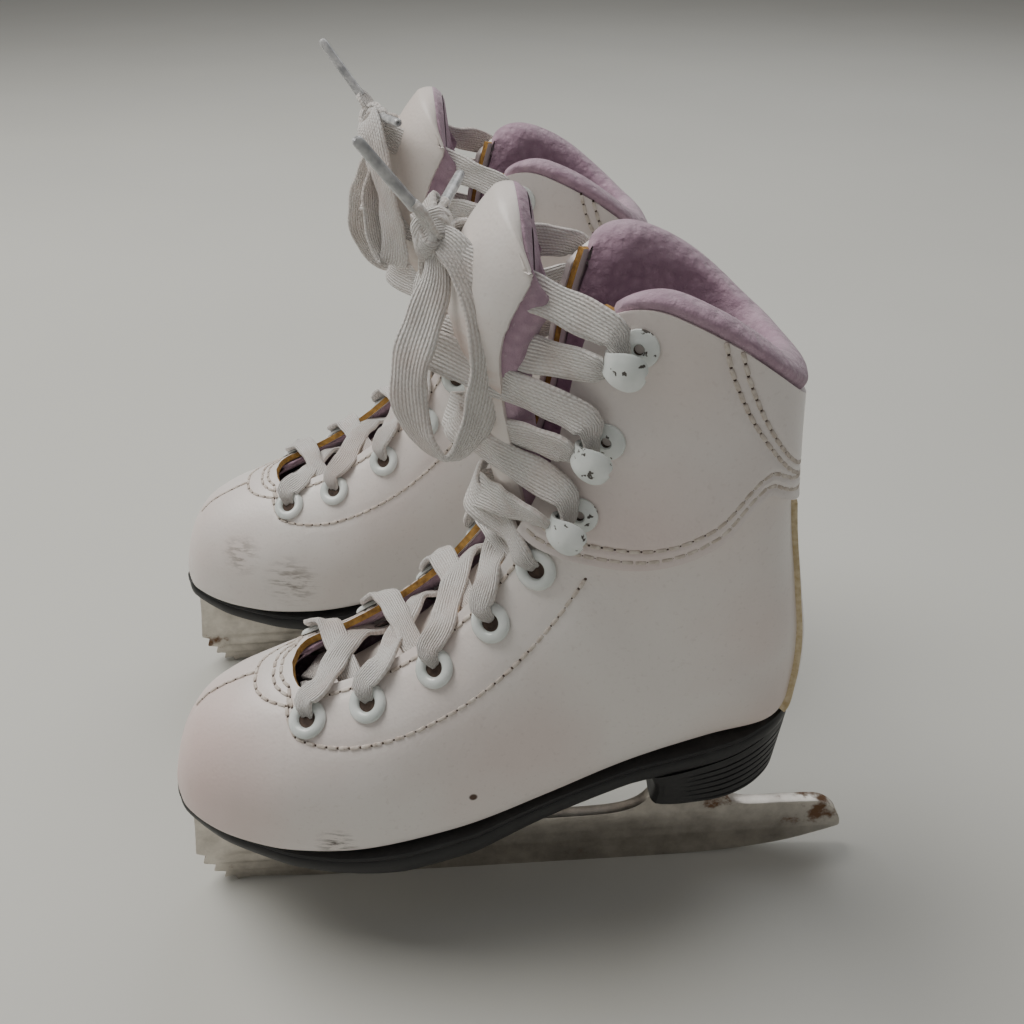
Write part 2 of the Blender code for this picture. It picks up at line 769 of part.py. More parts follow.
def blade_outline():
    front = SOLE_BOTTOM - PLATE_THICKNESS - 2 * CLEARANCE
    rear = HEEL_BOTTOM - PLATE_THICKNESS - 2 * CLEARANCE
    size = BLADE_LENGTH
    return [
        (2.6, front - 0.2), (0.9, 22.0), (-0.0, 11.7), (2.4, 10.4), (1.6, 7.6), (4.6, 6.8),
        (4.0, 4.3), (7.0, 3.9), (6.6, 1.6), (9.6, 1.9), (10.2, 0.25), (14.5, 1.3), (30.0, 0.35),
        (44.0, 0.0), (size - 64.0, 0.0), (size - 36.0, 0.7), (size - 18.0, 3.0), (size, 8.5),
        (size - 1.4, 12.6), (size - 4.2, 16.8), (size - 8.0, 19.0), (size - 20.0, 19.4),
        (size - 30.0, 19.6), (size - 34.5, 21.4), (size - 37.0, 25.5), (size - 38.2, rear),
        (HEEL_PLATE_START + 3.0, rear), (HEEL_PLATE_START + 1.0, 26.0), (HEEL_PLATE_START - 4.0, 20.5),
        (HEEL_PLATE_START - 12.0, 18.6), (FRONT_PLATE_END + 8.0, 18.2), (FRONT_PLATE_END - 1.0, 20.5),
        (FRONT_PLATE_END - 5.0, 25.0), (FRONT_PLATE_END - 6.0, front), (52.0, front),
        (50.5, 22.5), (45.5, 18.6), (36.0, 17.8), (28.0, 19.2), (22.4, 23.2), (20.2, front),
    ]


def make_blade(prefix, group):
    return plate(prefix + "blade", blade_outline(), [], BLADE_THICKNESS, group)


def plate_row(us, halves, low, high):
    points = []
    for w in (high, low):
        for u, half in zip(us, halves):
            for v in (-half, 0.0, half):
                points.append(np.array([u, v * WIDTH_SCALE, w]))
    return points


def flat_pad(name, us, halves, low, high, group):
    points = plate_row(us, halves, low, high)
    count = 3 * len(us)
    return layer(name, points[:count], points[count:], 3, group)


def make_front_plate(prefix, group):
    us = [FRONT_PLATE_START, 20.0, 27.0, 40.0, 55.0, 68.0, FRONT_PLATE_END]
    halves = [5.0, 10.0, 13.0, 14.5, 14.5, 13.0, 8.0]
    high = SOLE_BOTTOM - CLEARANCE
    return flat_pad(prefix + "sole_plate", us, halves, high - PLATE_THICKNESS, high, group)


def make_heel_plate(prefix, group):
    us = [HEEL_PLATE_START, 131.0, 140.0, 150.0, 153.5, HEEL_PLATE_END]
    halves = [9.0, 12.0, 12.5, 11.0, 8.5, 5.0]
    high = HEEL_BOTTOM - CLEARANCE
    return flat_pad(prefix + "heel_plate", us, halves, high - PLATE_THICKNESS, high, group)


def screw_list():
    """Name, centre and underside height of every blade screw."""
    rows = []
    for v, label in ((-9.0, "outer"), (9.0, "inner")):
        rows.append(("sole_screw_" + label, 40.0, v, SOLE_BOTTOM))
    for v, label in ((-7.5, "outer"), (7.5, "inner")):
        rows.append(("heel_screw_" + label, 141.0, v, HEEL_BOTTOM))
    return rows


def screw_profile():
    low = -PLATE_THICKNESS - 2 * CLEARANCE
    return [
        (0.0, 3.2),
        (SCREW_SHANK_RADIUS * 0.6, 3.2),
        (SCREW_SHANK_RADIUS, 2.2),
        (SCREW_SHANK_RADIUS, low),
        (SCREW_HEAD_RADIUS, low),
        (SCREW_HEAD_RADIUS * 0.8, low - 1.1),
        (0.0, low - 1.3),
    ]


def make_screws(prefix, group):
    made = []
    for name, u, v, under in screw_list():
        made.append(lathe(prefix + name, screw_profile(), (u, v, under), (0, 0, 1), group, 8))
    return made


def drill_for_screws(body, wanted, group):
    up = np.array([0.0, 0.0, 1.0])
    places = []
    for name, u, v, under in screw_list():
        if wanted in name:
            places.append((np.array([u, v, under]), up))
    return pierce(body, places, SCREW_SHANK_RADIUS + CLEARANCE + 0.1, group, 3.6)


# ---- laces ------------------------------------------------------------------------------------------------------
KNOT = np.array([71.5, 0.0, 187.0])


def lace_half(side, cross_depth):
    """One half of the lace from the toe bar up to the knot, starting on the given side."""
    points = []
    inside = STAY_INNER + LACE_RADIUS + 0.8
    over = -EYELET_SEAT - EYELET_FLANGE_HEIGHT - LACE_RADIUS - 0.25
    now = side
    for number, station in enumerate(EYELET_STATIONS):
        turn, place, normal = eyelet_place(station, now)
        points.append(place - normal * inside)
        points.append(place - normal * over)
        following = EYELET_STATIONS[number + 1] if number < 4 else None
        if following is None:
            break
        gap = following - station
        points.append(boot_point(station + 0.22 * gap, now * 1.0, over))
        ridge = section_at(station + 0.5 * gap)
        up = np.array([ridge[2] - ridge[0], ridge[3] - ridge[1]])
        up = up / np.linalg.norm(up)
        drop = up * (cross_depth + 0.8 - 0.9 * number)
        points.append(np.array([ridge[2] - drop[0], 0.0, ridge[3] - drop[1]]))
        now = -now
        points.append(boot_point(following - 0.22 * gap, now * 1.0, inside))
    for number, station in enumerate(HOOK_STATIONS):
        front = {0: (76.3, 127.5), 1: (74.6, 147.0), 2: (73.2, 166.5)}[number]
        forward = 1.6 if cross_depth < 2.0 else -2.0
        reach = -0.0
        near = (9.0 if number == 0 else 12.0) - 2.0 * LACE_RADIUS
        past = 12.0 - 2.0 * LACE_RADIUS
        points.append(np.array([front[0] + near, now * 12.5 * WIDTH_SCALE, front[1] - 5.0]))
        points.append(np.array([front[0] - forward, reach, front[1]]))
        now = -now
        points.append(np.array([front[0] + past, now * 13.5 * WIDTH_SCALE, front[1] + 3.0]))
        place, normal, away = hook_frame(station, now)
        cross = np.cross(normal, away)
        if cross[2] < 0:
            cross = -cross
        lift = HOOK_BASE + 0.9 + LACE_RADIUS + 0.4
        stem = -1.9
        beside = 2.0 * LACE_RADIUS + 0.6
        points.append(place + normal * lift + away * (stem + 0.6) - cross * beside)
        points.append(place + normal * lift + away * (stem + 4.0))
        points.append(place + normal * lift + away * (stem + 0.6) + cross * beside)
    end = KNOT + np.array([6.0, now * 10.0, -3.0])
    points.append(end)
    points.append(KNOT + np.array([1.5, now * (KNOT_RADIUS + LACE_RADIUS * 0.4), -0.6]))
    return points


def make_lacing(prefix, group):
    first = lace_half(-1, 0.2)
    second = lace_half(1, 4.2)
    return tube(prefix + "lacing", list(reversed(first)) + second, LACE_RADIUS, group)


def make_bow(prefix, group):
    """Knot with two loops and two tails, one closed body."""
    knot = lathe(prefix + "bow", ball_profile(KNOT_RADIUS), KNOT, (0, 0, 1), group, 12)
    loops = [
        [(0, -1, 0), (-4, -7, 4), (-8, -13, -3), (-8, -17, -22), (-5, -18, -38), (-1, -17, -43),
         (2, -15, -38), (2, -12, -20), (0, -7, -5), (0, -1, -1)],
        [(0, 1, 0), (-1, 8, 5), (0, 14, 1), (2, 17, -12), (3, 18, -28), (3, 17, -35),
         (0, 15, -30), (-2, 12, -14), (-2, 6, -4), (0, 1, -1)],
    ]
    tails = [
        [(0, 0, 0), (-3, -3, 5), (-6, -6, 9)],
        [(0, 0, 0), (3, 5, 7), (6, 8, 9)],
    ]
    for path in loops + tails:
        points = smooth_path([KNOT + np.array(p, float) for p in path], 2)
        knot = combine(knot, tube("strand", points, LACE_RADIUS, group), "UNION")
    ends = []
    for path, label in zip(tails, ("near", "far")):
        tip = KNOT + np.array(path[-1], float)
        heading = np.array(path[-1], float) - np.array(path[-2], float)
        heading = heading / np.linalg.norm(heading)
        start = tip + heading * CLEARANCE
        stop = start + heading * AGLET_LENGTH
        ends.append(tube(prefix + "aglet_" + label, [start, stop], AGLET_RADIUS, group))
    return knot, ends


def ball_profile(radius):
    rows = []
    for i in range(7):
        angle = math.pi / 2 - math.pi * i / 6
        rows.append((radius * math.cos(angle) if 0 < i < 6 else 0.0, radius * 0.85 * math.sin(angle)))
    return rows


# ---- one skate, then the pair -----------------------------------------------------------------------------------
def paint(obj, look):
    obj.data.materials.clear()
    obj.data.materials.append(look)


def build_skate(prefix, group, looks):
    pieces = {}
    eyelets, hooks = hardware_places()
    lower = make_lower(prefix, group)
    lower = pierce(lower, eyelets, EYELET_BARREL_RADIUS + CLEARANCE + 0.1, group)
    shank = HOOK_SHANK_RADIUS + CLEARANCE + 0.3
    lower = pierce(lower, hooks, shank, group, 8.0, 6)
    pieces["white_leather"] = [lower]
    cuff = pierce(make_cuff(prefix, group), hooks, shank, group, 8.0, 6)
    tongue, tongue_pad = make_tongue(prefix, group)
    pieces["white_leather"] += [cuff, make_backstay(prefix, group), tongue]
    pieces["lilac_fleece"] = [make_lining(prefix, group), tongue_pad]
    pieces["insole_board"] = [make_insole(prefix, group)]
    pieces["white_enamel"] = [make_stay(prefix, -1, group), make_stay(prefix, 1, group)]
    for side in (-1, 1):
        for number in range(3):
            pieces["white_enamel"].append(make_hook(prefix, number, side, group))
    outsole = drill_for_screws(make_outsole(prefix, group), "sole_screw", group)
    heel = drill_for_screws(make_heel(prefix, group), "heel_screw", group)
    pieces["black_rubber"] = [outsole, heel]
    front = drill_for_screws(make_front_plate(prefix, group), "sole_screw", group)
    rear = drill_for_screws(make_heel_plate(prefix, group), "heel_screw", group)
    pieces["blade_steel"] = [make_blade(prefix, group), front, rear] + make_screws(prefix, group)
    bow, ends = make_bow(prefix, group)
    pieces["cotton_lace"] = [make_lacing(prefix, group), bow]
    pieces["clear_aglet"] = ends
    made = []
    for look, objects in pieces.items():
        for obj in objects:
            paint(obj, looks[look])
            made.append(obj)
    return made


def place_skate(objects, place, turn, mirrored):
    spin = Matrix.Rotation(math.radians(turn), 4, "Z")
    move = Matrix.Translation(Vector((place[0] / 1000.0, place[1] / 1000.0, 0.0)))
    flip = Matrix.Scale(-1.0, 4, Vector((0, 1, 0))) if mirrored else Matrix.Identity(4)
    for obj in objects:
        obj.data.transform(move @ spin @ flip)
        if mirrored:
            obj.data.flip_normals()
        obj.data.update()


def centre_pair(objects):
    """Origin at the middle of the footprint, blades on the ground."""
    cords = ("lacing", "bow", "aglet")
    low = np.full(3, 1e9)
    high = np.full(3, -1e9)
    for obj in objects:
        if any(word in obj.name for word in cords):
            continue
        for vertex in obj.data.vertices:
            low = np.minimum(low, vertex.co)
            high = np.maximum(high, vertex.co)
    shift = Vector((-(low[0] + high[0]) / 2, -(low[1] + high[1]) / 2, -low[2]))
    for obj in objects:
        obj.data.transform(Matrix.Translation(shift))
    return shift


def hinge_point(place, turn, mirrored, shift):
    local = Vector((40.0 / 1000.0, 0.0, 67.0 / 1000.0))
    spin = Matrix.Rotation(math.radians(turn), 4, "Z")
    return spin @ local + Vector((place[0] / 1000.0, place[1] / 1000.0, 0.0)) + shift


def set_origin(obj, point):
    obj.data.transform(Matrix.Translation(-point))
    obj.location = point


def main():
    clear_scene()
    group = new_collection("figure_skates")
    looks = {
        "white_leather": material("white_leather", (0.80, 0.78, 0.76), 0.45, 0.0),
        "lilac_fleece": material("lilac_fleece", (0.45, 0.31, 0.45), 0.95, 0.0),
        "insole_board": material("insole_board", (0.42, 0.34, 0.42), 0.9, 0.0),
        "white_enamel": material("white_enamel", (0.82, 0.83, 0.82), 0.3, 0.0),
        "black_rubber": material("black_rubber", (0.02, 0.02, 0.022), 0.55, 0.0),
        "blade_steel": material("blade_steel", (0.52, 0.50, 0.47), 0.35, 1.0),
        "cotton_lace": material("cotton_lace", (0.80, 0.77, 0.74), 0.95, 0.0),
        "clear_aglet": material("clear_aglet", (0.62, 0.63, 0.65), 0.25, 0.0),
    }
    left = build_skate("left_", group, looks)
    right = build_skate("right_", group, looks)
    place_skate(left, LEFT_PLACE, LEFT_TURN, False)
    place_skate(right, RIGHT_PLACE, RIGHT_TURN, True)
    shift = centre_pair(left + right)
    for objects, place, turn, flip in (
        (left, LEFT_PLACE, LEFT_TURN, False),
        (right, RIGHT_PLACE, RIGHT_TURN, True),
    ):
        hinge = hinge_point(place, turn, flip, shift)
        for obj in objects:
            if "tongue" in obj.name:
                set_origin(obj, hinge)
        print("hinge", tuple(round(x, 5) for x in hinge))
    print("shift", tuple(round(x, 5) for x in shift))


main()
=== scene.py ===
# %% [markdown]
# # A pair of child's figure skates
# The real pair is made of lasted boots of white coated leather on black moulded soles, with steel
# pick blades below. The CAD frame is loaded first and every visible piece rides on one of its bodies.

# %% Load the frame
import math

import bpy
import numpy as np
from mathutils import Matrix, Vector, kdtree


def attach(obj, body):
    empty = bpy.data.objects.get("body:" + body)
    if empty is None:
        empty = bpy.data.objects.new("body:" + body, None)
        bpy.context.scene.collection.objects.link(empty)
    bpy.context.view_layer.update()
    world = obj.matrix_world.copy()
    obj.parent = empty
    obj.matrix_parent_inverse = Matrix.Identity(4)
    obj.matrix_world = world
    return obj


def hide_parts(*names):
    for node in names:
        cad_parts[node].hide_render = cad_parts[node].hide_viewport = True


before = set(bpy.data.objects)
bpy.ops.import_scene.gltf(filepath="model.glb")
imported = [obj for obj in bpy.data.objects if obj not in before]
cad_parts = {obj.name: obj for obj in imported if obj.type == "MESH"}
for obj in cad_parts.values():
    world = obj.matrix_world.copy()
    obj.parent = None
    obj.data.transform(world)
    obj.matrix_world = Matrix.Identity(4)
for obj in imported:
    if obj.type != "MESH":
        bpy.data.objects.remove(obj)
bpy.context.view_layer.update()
bpy.ops.object.select_all(action="DESELECT")

# %% [markdown]
# ## Two skates from one set of pieces
# Each skate is laid out in its own frame in millimetres: u from toe pick to heel, v sideways with the
# outer side of the left foot at -v, w up from the ice. The right skate is the mirror of the left, so a
# piece is modelled once and copied twice, each copy with its own mesh.

# %% Where the skates stand
MM = 0.001
SHIFT = Vector((8.13, -8.80, 0.0)) * MM
FLIP = Matrix.Scale(-1.0, 4, Vector((0, 1, 0)))


def standing(u, v, degrees):
    place = Matrix.Translation(Vector((u * MM, v * MM, 0.0)) + SHIFT)
    return place @ Matrix.Rotation(math.radians(degrees), 4, "Z")


PLACES = {"left": standing(-89.3, -49.0, 4.2), "right": standing(-111.7, 49.0, 5.9) @ FLIP}
print({side: tuple(round(x, 4) for x in place.translation) for side, place in PLACES.items()})

# %% [markdown]
# ## Camera and light
# The camera stands low in front of the outer side of the left boot and looks down on both. Light in a
# room is broad and soft, so one large lamp does the modelling and the sky fills the shadows.

# %% Camera, floor and lamps
FOCAL = 1073.0
EYE = (0.00813, -0.2666, 0.253)
bpy.ops.object.camera_add(location=EYE, rotation=(math.radians(58.3), 0.0, 0.0))
camera = bpy.context.object
camera.data.lens = 36.0 * FOCAL / 1024.0
camera.data.clip_start = 0.01
bpy.context.scene.camera = camera


def lamp(name, place, size, watts, colour):
    bpy.ops.object.light_add(type="AREA", location=place)
    made = bpy.context.object
    made.name = name
    made.data.size = size
    made.data.energy = watts
    made.data.color = colour
    aim = Vector((0.0, 0.0, 0.08)) - Vector(place)
    made.rotation_euler = aim.to_track_quat("-Z", "Y").to_euler()


lamp("key_lamp", (-0.70, 0.25, 1.25), 0.9, 17.5, (1.0, 0.975, 0.93))
lamp("front_lamp", (-0.35, -1.1, 0.9), 1.0, 0.7, (1.0, 0.97, 0.93))
lamp("back_lamp", (0.5, 1.0, 1.2), 1.2, 6.0, (0.96, 0.98, 1.0))
sky = bpy.context.scene.world or bpy.data.worlds.new("soft_sky")
bpy.context.scene.world = sky
sky.use_nodes = True
sky.node_tree.nodes["Background"].inputs["Color"].default_value = (0.86, 0.84, 0.82, 1.0)
sky.node_tree.nodes["Background"].inputs["Strength"].default_value = 0.235
print("lens", round(camera.data.lens, 2))

# %% [markdown]
# ## Materials
# Every finish starts from the real one: its usual colour, its roughness and the size of its grain.
# One function turns sRGB hex colours to linear values and one adds a node with settings and links.


# %% Colour and node helpers
def hex_colour(text):
    values = [int(text[i:i + 2], 16) / 255.0 for i in (0, 2, 4)]
    return (*[x / 12.92 if x <= 0.04045 else ((x + 0.055) / 1.055) ** 2.4 for x in values], 1.0)


def add(tree, kind, settings=None, out=None, **inputs):
    """Add a shader node, set it up, link what is a socket, and give back one output."""
    made = tree.nodes.new("ShaderNode" + kind)
    for key, value in (settings or {}).items():
        setattr(made, key, value)
    for key, value in inputs.items():
        if key[0] == "i" and key[1:].isdigit():
            socket = made.inputs[int(key[1:])]
        else:
            named = [s for s in made.inputs if s.name == key.replace("_", " ") and s.enabled]
            socket = named[0]
        if isinstance(value, bpy.types.NodeSocket):
            tree.links.new(value, socket)
        else:
            socket.default_value = value
    if out:
        return made.outputs[out]
    return [s for s in made.outputs if s.enabled][0]


def start(name, roughness, metallic=0.0, **fixed):
    """A new material with its fixed shader values; gives it, its tree, shader and object place."""
    look = bpy.data.materials.new(name)
    look.use_nodes = True
    tree = look.node_tree
    shader = tree.nodes["Principled BSDF"]
    shader.inputs["Roughness"].default_value = roughness
    shader.inputs["Metallic"].default_value = metallic
    for key, value in fixed.items():
        shader.inputs[key.replace("_", " ")].default_value = value
    return look, tree, shader, add(tree, "TexCoord", out="Object")


RGBA = {"data_type": "RGBA"}


def lay_colour(tree, under, over, pattern, low, high, most=1.0):
    """Lay one colour over another where a pattern rises from low to high."""
    share = add(tree, "MapRange", Value=pattern, i1=low, i2=high, i3=0.0, i4=most)
    return add(tree, "Mix", RGBA, Factor=share, A=under, B=over)


print("white", [round(x, 3) for x in hex_colour("e9e2df")])

# %% [markdown]
# ### White coated leather
# The uppers are split leather under a thick white polyurethane coat: almost smooth, satin, with a very
# fine pebble of about 0.7 mm and soft ripples. The white has gone faintly pink and grey in patches.
# Scuffs and nicks sit where a toe and a side get knocked, so they are placed in millimetres.


# %% Coated leather
def at(side, u, v, w):
    """World place of a point given in one skate's own millimetres."""
    return PLACES[side] @ (Vector((u, v, w)) * MM)


def coated_leather(name, white, warm, marks):
    look, tree, shader, where = start(name, 0.40, Coat_Weight=0.12, Coat_Roughness=0.3)
    broad = add(tree, "TexNoise", Vector=where, Scale=22.0, Detail=3.0)
    colour = lay_colour(tree, hex_colour(white), hex_colour(warm), broad, 0.42, 0.68)
    speck = add(tree, "TexNoise", Vector=where, Scale=900.0, Detail=2.0)
    colour = lay_colour(tree, colour, hex_colour("b9aca4"), speck, 0.60, 0.74, 0.16)
    for place, radius, tint, strength, scale in marks:
        away = add(tree, "VectorMath", {"operation": "DISTANCE"}, out="Value", i0=where, i1=place)
        core = 0.7 if radius < 3.0 else 0.25
        near = add(tree, "MapRange", Value=away, i1=radius * MM, i2=radius * MM * core)
        streaks = add(tree, "Mapping", Vector=where, Scale=(0.35, 1.0, 1.8))
        torn = add(tree, "TexNoise", Vector=streaks, Scale=scale, Detail=5.0, Roughness=0.65)
        low = 0.47 if scale > 50 else 0.2
        torn = add(tree, "MapRange", Value=torn, i1=low, i2=low + 0.14)
        share = add(tree, "Math", {"operation": "MULTIPLY"}, i0=near, i1=torn)
        share = add(tree, "Math", {"operation": "MULTIPLY"}, i0=share, i1=strength)
        colour = add(tree, "Mix", RGBA, Factor=share, A=colour, B=hex_colour(tint))
    tree.links.new(colour, shader.inputs["Base Color"])
    gloss = add(tree, "MapRange", Value=broad, i1=0.3, i2=0.7, i3=0.34, i4=0.47)
    tree.links.new(gloss, shader.inputs["Roughness"])
    pebble = add(tree, "TexVoronoi", {"feature": "SMOOTH_F1"}, Vector=where, Scale=1250.0)
    ripple = add(tree, "TexNoise", Vector=where, Scale=130.0, Detail=2.0)
    height = add(tree, "Math", {"operation": "MULTIPLY_ADD"}, i0=ripple, i1=2.2, i2=pebble)
    bump = add(tree, "Bump", Strength=0.22, Distance=0.00022, Height=height)
    tree.links.new(bump, shader.inputs["Normal"])
    return look


VAMP_MARKS = [
    (at("left", 6, -10, 55), 34.0, "dcbdb7", 0.55, 8.0),
    (at("left", 44, -29, 44), 6.0, "5d5650", 1.0, 520.0),
    (at("left", 78, -29.5, 57), 1.25, "48290f", 1.0, 45.0),
    (at("left", 150, -20, 62), 26.0, "d8c0b4", 0.5, 8.0),
    (at("right", 38, 28, 52), 10.0, "7d746c", 0.8, 430.0),
    (at("right", 22, 23, 60), 8.0, "8f867e", 0.7, 430.0),
]
VAMP = coated_leather("coated_split_leather", "ece7e3", "e7dbd6", VAMP_MARKS)
CUFF_MARKS = [
    (at("left", 112, -27, 128), 26.0, "dcc4bd", 0.4, 9.0),
    (at("left", 120, -28, 168), 20.0, "dfd0c8", 0.4, 9.0),
    (at("right", 120, 28, 150), 24.0, "dccabf", 0.4, 9.0),
]
CUFF_LEATHER = coated_leather("coated_cuff_leather", "ebe5e2", "e2d8d4", CUFF_MARKS)
TONGUE_MARKS = [
    (at("left", 78, -12, 160), 18.0, "cfae9f", 0.6, 60.0),
    (at("left", 84, -8, 118), 20.0, "d8beb2", 0.5, 30.0),
    (at("right", 82, 10, 150), 22.0, "c9b9ac", 0.5, 60.0),
]
TONGUE_LEATHER = coated_leather("coated_tongue_leather", "ebe6e2", "e3d9d2", TONGUE_MARKS)
print("leathers", VAMP.name, CUFF_LEATHER.name, TONGUE_LEATHER.name)

# %% [markdown]
# ### Cut edges, fleece and cotton
# Where the board and leather are cut the ochre core shows. The lining is a brushed lilac knit, so it
# has no gloss but a soft sheen, a clumped pile near 1 mm and worn paler tracks. Laces are a flat braid
# of soft cotton: ribs run along the lace, and each rib steps over its neighbour every 1.3 mm. The braid
# carries painted shade down the grooves between ribs and a painted highlight on the rib crests.


# %% Raw edge, fleece and braid
def raw_edge(name, core, dark):
    look, tree, shader, where = start(name, 0.85)
    fibre = add(tree, "TexNoise", Vector=where, Scale=650.0, Detail=5.0)
    colour = lay_colour(tree, hex_colour(core), hex_colour(dark), fibre, 0.35, 0.7)
    tree.links.new(colour, shader.inputs["Base Color"])
    bump = add(tree, "Bump", Strength=0.6, Distance=0.0004, Height=fibre)
    tree.links.new(bump, shader.inputs["Normal"])
    return look


def brushed_fleece(name, base, shade, worn):
    look, tree, shader, where = start(name, 0.95, Sheen_Weight=0.35, Sheen_Roughness=0.5)
    pile = add(tree, "TexNoise", Vector=where, Scale=1100.0, Detail=4.0, Roughness=0.7)
    clump = add(tree, "TexVoronoi", {"feature": "SMOOTH_F1"}, Vector=where, Scale=520.0)
    drift = add(tree, "TexNoise", Vector=where, Scale=55.0, Detail=3.0)
    colour = lay_colour(tree, hex_colour(base), hex_colour(shade), clump, 0.1, 0.75)
    colour = lay_colour(tree, colour, hex_colour(worn), drift, 0.48, 0.72, 0.55)
    colour = lay_colour(tree, colour, hex_colour("decfd8"), pile, 0.62, 0.72, 0.35)
    tree.links.new(colour, shader.inputs["Base Color"])
    height = add(tree, "Math", {"operation": "MULTIPLY_ADD"}, i0=clump, i1=1.3, i2=pile)
    bump = add(tree, "Bump", Strength=0.75, Distance=0.0006, Height=height)
    tree.links.new(bump, shader.inputs["Normal"])
    return look


RIBS = 11.0
PICK = 1.1


def cotton_braid(name):
    look, tree, shader, where = start(name, 0.92, Sheen_Weight=0.25, Sheen_Roughness=0.4)
    uv = add(tree, "UVMap", {"uv_map": "UVMap"})
    split = add(tree, "SeparateXYZ", Vector=uv).node
    across = add(tree, "Math", {"operation": "MULTIPLY"}, i0=split.outputs[0], i1=RIBS)
    rib = add(tree, "Math", {"operation": "PINGPONG"}, i0=across, i1=0.5)
    number = add(tree, "Math", {"operation": "FLOOR"}, i0=across)
    slide = add(tree, "Math", {"operation": "MULTIPLY"}, i0=number, i1=math.pi)
    turn = add(tree, "Math", {"operation": "MULTIPLY_ADD"}, i0=split.outputs[1],
               i1=2.0 * math.pi / PICK, i2=slide)
    wave = add(tree, "Math", {"operation": "SINE"}, i0=turn)
    fuzz = add(tree, "TexNoise", Vector=where, Scale=1150.0, Detail=5.0, Roughness=0.8)
    height = add(tree, "Math", {"operation": "MULTIPLY_ADD"}, i0=rib, i1=1.5, i2=fuzz)
    height = add(tree, "Math", {"operation": "MULTIPLY_ADD"}, i0=wave, i1=0.14, i2=height)
    # Painted shade and highlight: darker down the grooves between ribs, lighter on the rib crests,
    # following the bump height
    colour = lay_colour(tree, hex_colour("e0d8d2"), hex_colour("fffdfa"), height, 0.35, 1.1)
    drift = add(tree, "TexNoise", Vector=where, Scale=48.0, Detail=4.0, Roughness=0.6)
    colour = lay_colour(tree, colour, hex_colour("e8d5cc"), drift, 0.47, 0.66, 0.55)
    thread = add(tree, "CombineXYZ", X=across, Y=split.outputs[1], Z=0.0)
    thread = add(tree, "Mapping", Vector=thread, Scale=(0.55, 0.16, 1.0))
    grey = add(tree, "TexNoise", Vector=thread, Scale=4.0, Detail=6.0, Roughness=0.75)
    colour = lay_colour(tree, colour, hex_colour("b3a29b"), grey, 0.58, 0.72, 0.34)
    tree.links.new(colour, shader.inputs["Base Color"])
    bump = add(tree, "Bump", Strength=0.9, Distance=0.0006, Height=height)
    tree.links.new(bump, shader.inputs["Normal"])
    return look


OCHRE = raw_edge("cut_board_edge", "b98f49", "7d5a2c")
CREAM = raw_edge("cut_leather_edge", "dccfb0", "c2ae84")
FLEECE = brushed_fleece("lilac_brushed_knit", "bd9fb1", "a5879a", "cdb5c3")
LACE = cotton_braid("flat_cotton_braid")
THREAD = raw_edge("bonded_polyester_thread", "ddd5cc", "bbaea3")
# The dark hole material is painted shade: it stands for the shade inside needle holes, eyelet bores and
# rivet holes
PAINTED_HOLE_SHADE = raw_edge("dark_hole_painted_shade", "5a4a40", "3a2e28")
BOARD = raw_edge("fibre_insole_board", "85708a", "5f4c66")
print("cut edges", OCHRE.name, CREAM.name, "lace", LACE.name)

# %% [markdown]
# ### Metal, enamel, rubber and plastic
# Eyelets and hooks are pressed brass or steel, dipped in white enamel that chips on the proud hooks.
# The blade is nickel-plated mild steel, ground along its length, with rust where the plate has worn
# off. Sole and heel are one black rubber, moulded satin and dusty. Lace tips are clear acetate film.


# %% Hard finishes
def enamel(name, chips):
    look, tree, shader, where = start(name, 0.26, Coat_Weight=0.4, Coat_Roughness=0.15)
    drift = add(tree, "TexNoise", Vector=where, Scale=160.0, Detail=3.0)
    colour = lay_colour(tree, hex_colour("e9eeec"), hex_colour("d3dbd8"), drift, 0.4, 0.7)
    worn = add(tree, "TexNoise", Vector=where, Scale=430.0, Detail=3.0, Roughness=0.55)
    bare = add(tree, "MapRange", Value=worn, i1=chips, i2=chips + 0.02)
    colour = add(tree, "Mix", RGBA, Factor=bare, A=colour, B=hex_colour("4c4743"))
    tree.links.new(colour, shader.inputs["Base Color"])
    rough = add(tree, "MapRange", Value=bare, i3=0.26, i4=0.6)
    tree.links.new(rough, shader.inputs["Roughness"])
    bump = add(tree, "Bump", {"invert": True}, Strength=0.6, Distance=0.0002, Height=bare)
    tree.links.new(bump, shader.inputs["Normal"])
    return look


def ground_steel(name, bright, dull, rust_marks):
    look, tree, shader, where = start(name, 0.36, 1.0)
    along = add(tree, "Mapping", Vector=where, Scale=(0.06, 1.0, 1.0))
    lines = add(tree, "TexNoise", Vector=along, Scale=2600.0, Detail=3.0)
    cloud = add(tree, "TexNoise", Vector=where, Scale=120.0, Detail=5.0, Roughness=0.65)
    colour = lay_colour(tree, hex_colour(bright), hex_colour(dull), cloud, 0.38, 0.66)
    spots = add(tree, "MapRange", Value=cloud, i1=0.66, i2=0.74, i3=0.0, i4=0.4)
    for place, radius in rust_marks:
        away = add(tree, "VectorMath", {"operation": "DISTANCE"}, out="Value", i0=where, i1=place)
        near = add(tree, "MapRange", Value=away, i1=radius * MM, i2=0.0, i3=0.0, i4=0.34)
        more = add(tree, "Math", {"operation": "ADD"}, i0=cloud, i1=near)
        more = add(tree, "MapRange", Value=more, i1=0.70, i2=0.82)
        spots = add(tree, "Math", {"operation": "MAXIMUM"}, i0=spots, i1=more)
    colour = add(tree, "Mix", RGBA, Factor=spots, A=colour, B=hex_colour("77583f"))
    tree.links.new(colour, shader.inputs["Base Color"])
    bare = add(tree, "Math", {"operation": "MULTIPLY_ADD"}, i0=spots, i1=-0.75, i2=1.0)
    tree.links.new(bare, shader.inputs["Metallic"])
    rough = add(tree, "Math", {"operation": "MULTIPLY_ADD"}, i0=spots, i1=0.45, i2=0.34)
    tree.links.new(rough, shader.inputs["Roughness"])
    bump = add(tree, "Bump", Strength=0.25, Distance=0.0001, Height=lines)
    tree.links.new(bump, shader.inputs["Normal"])
    return look


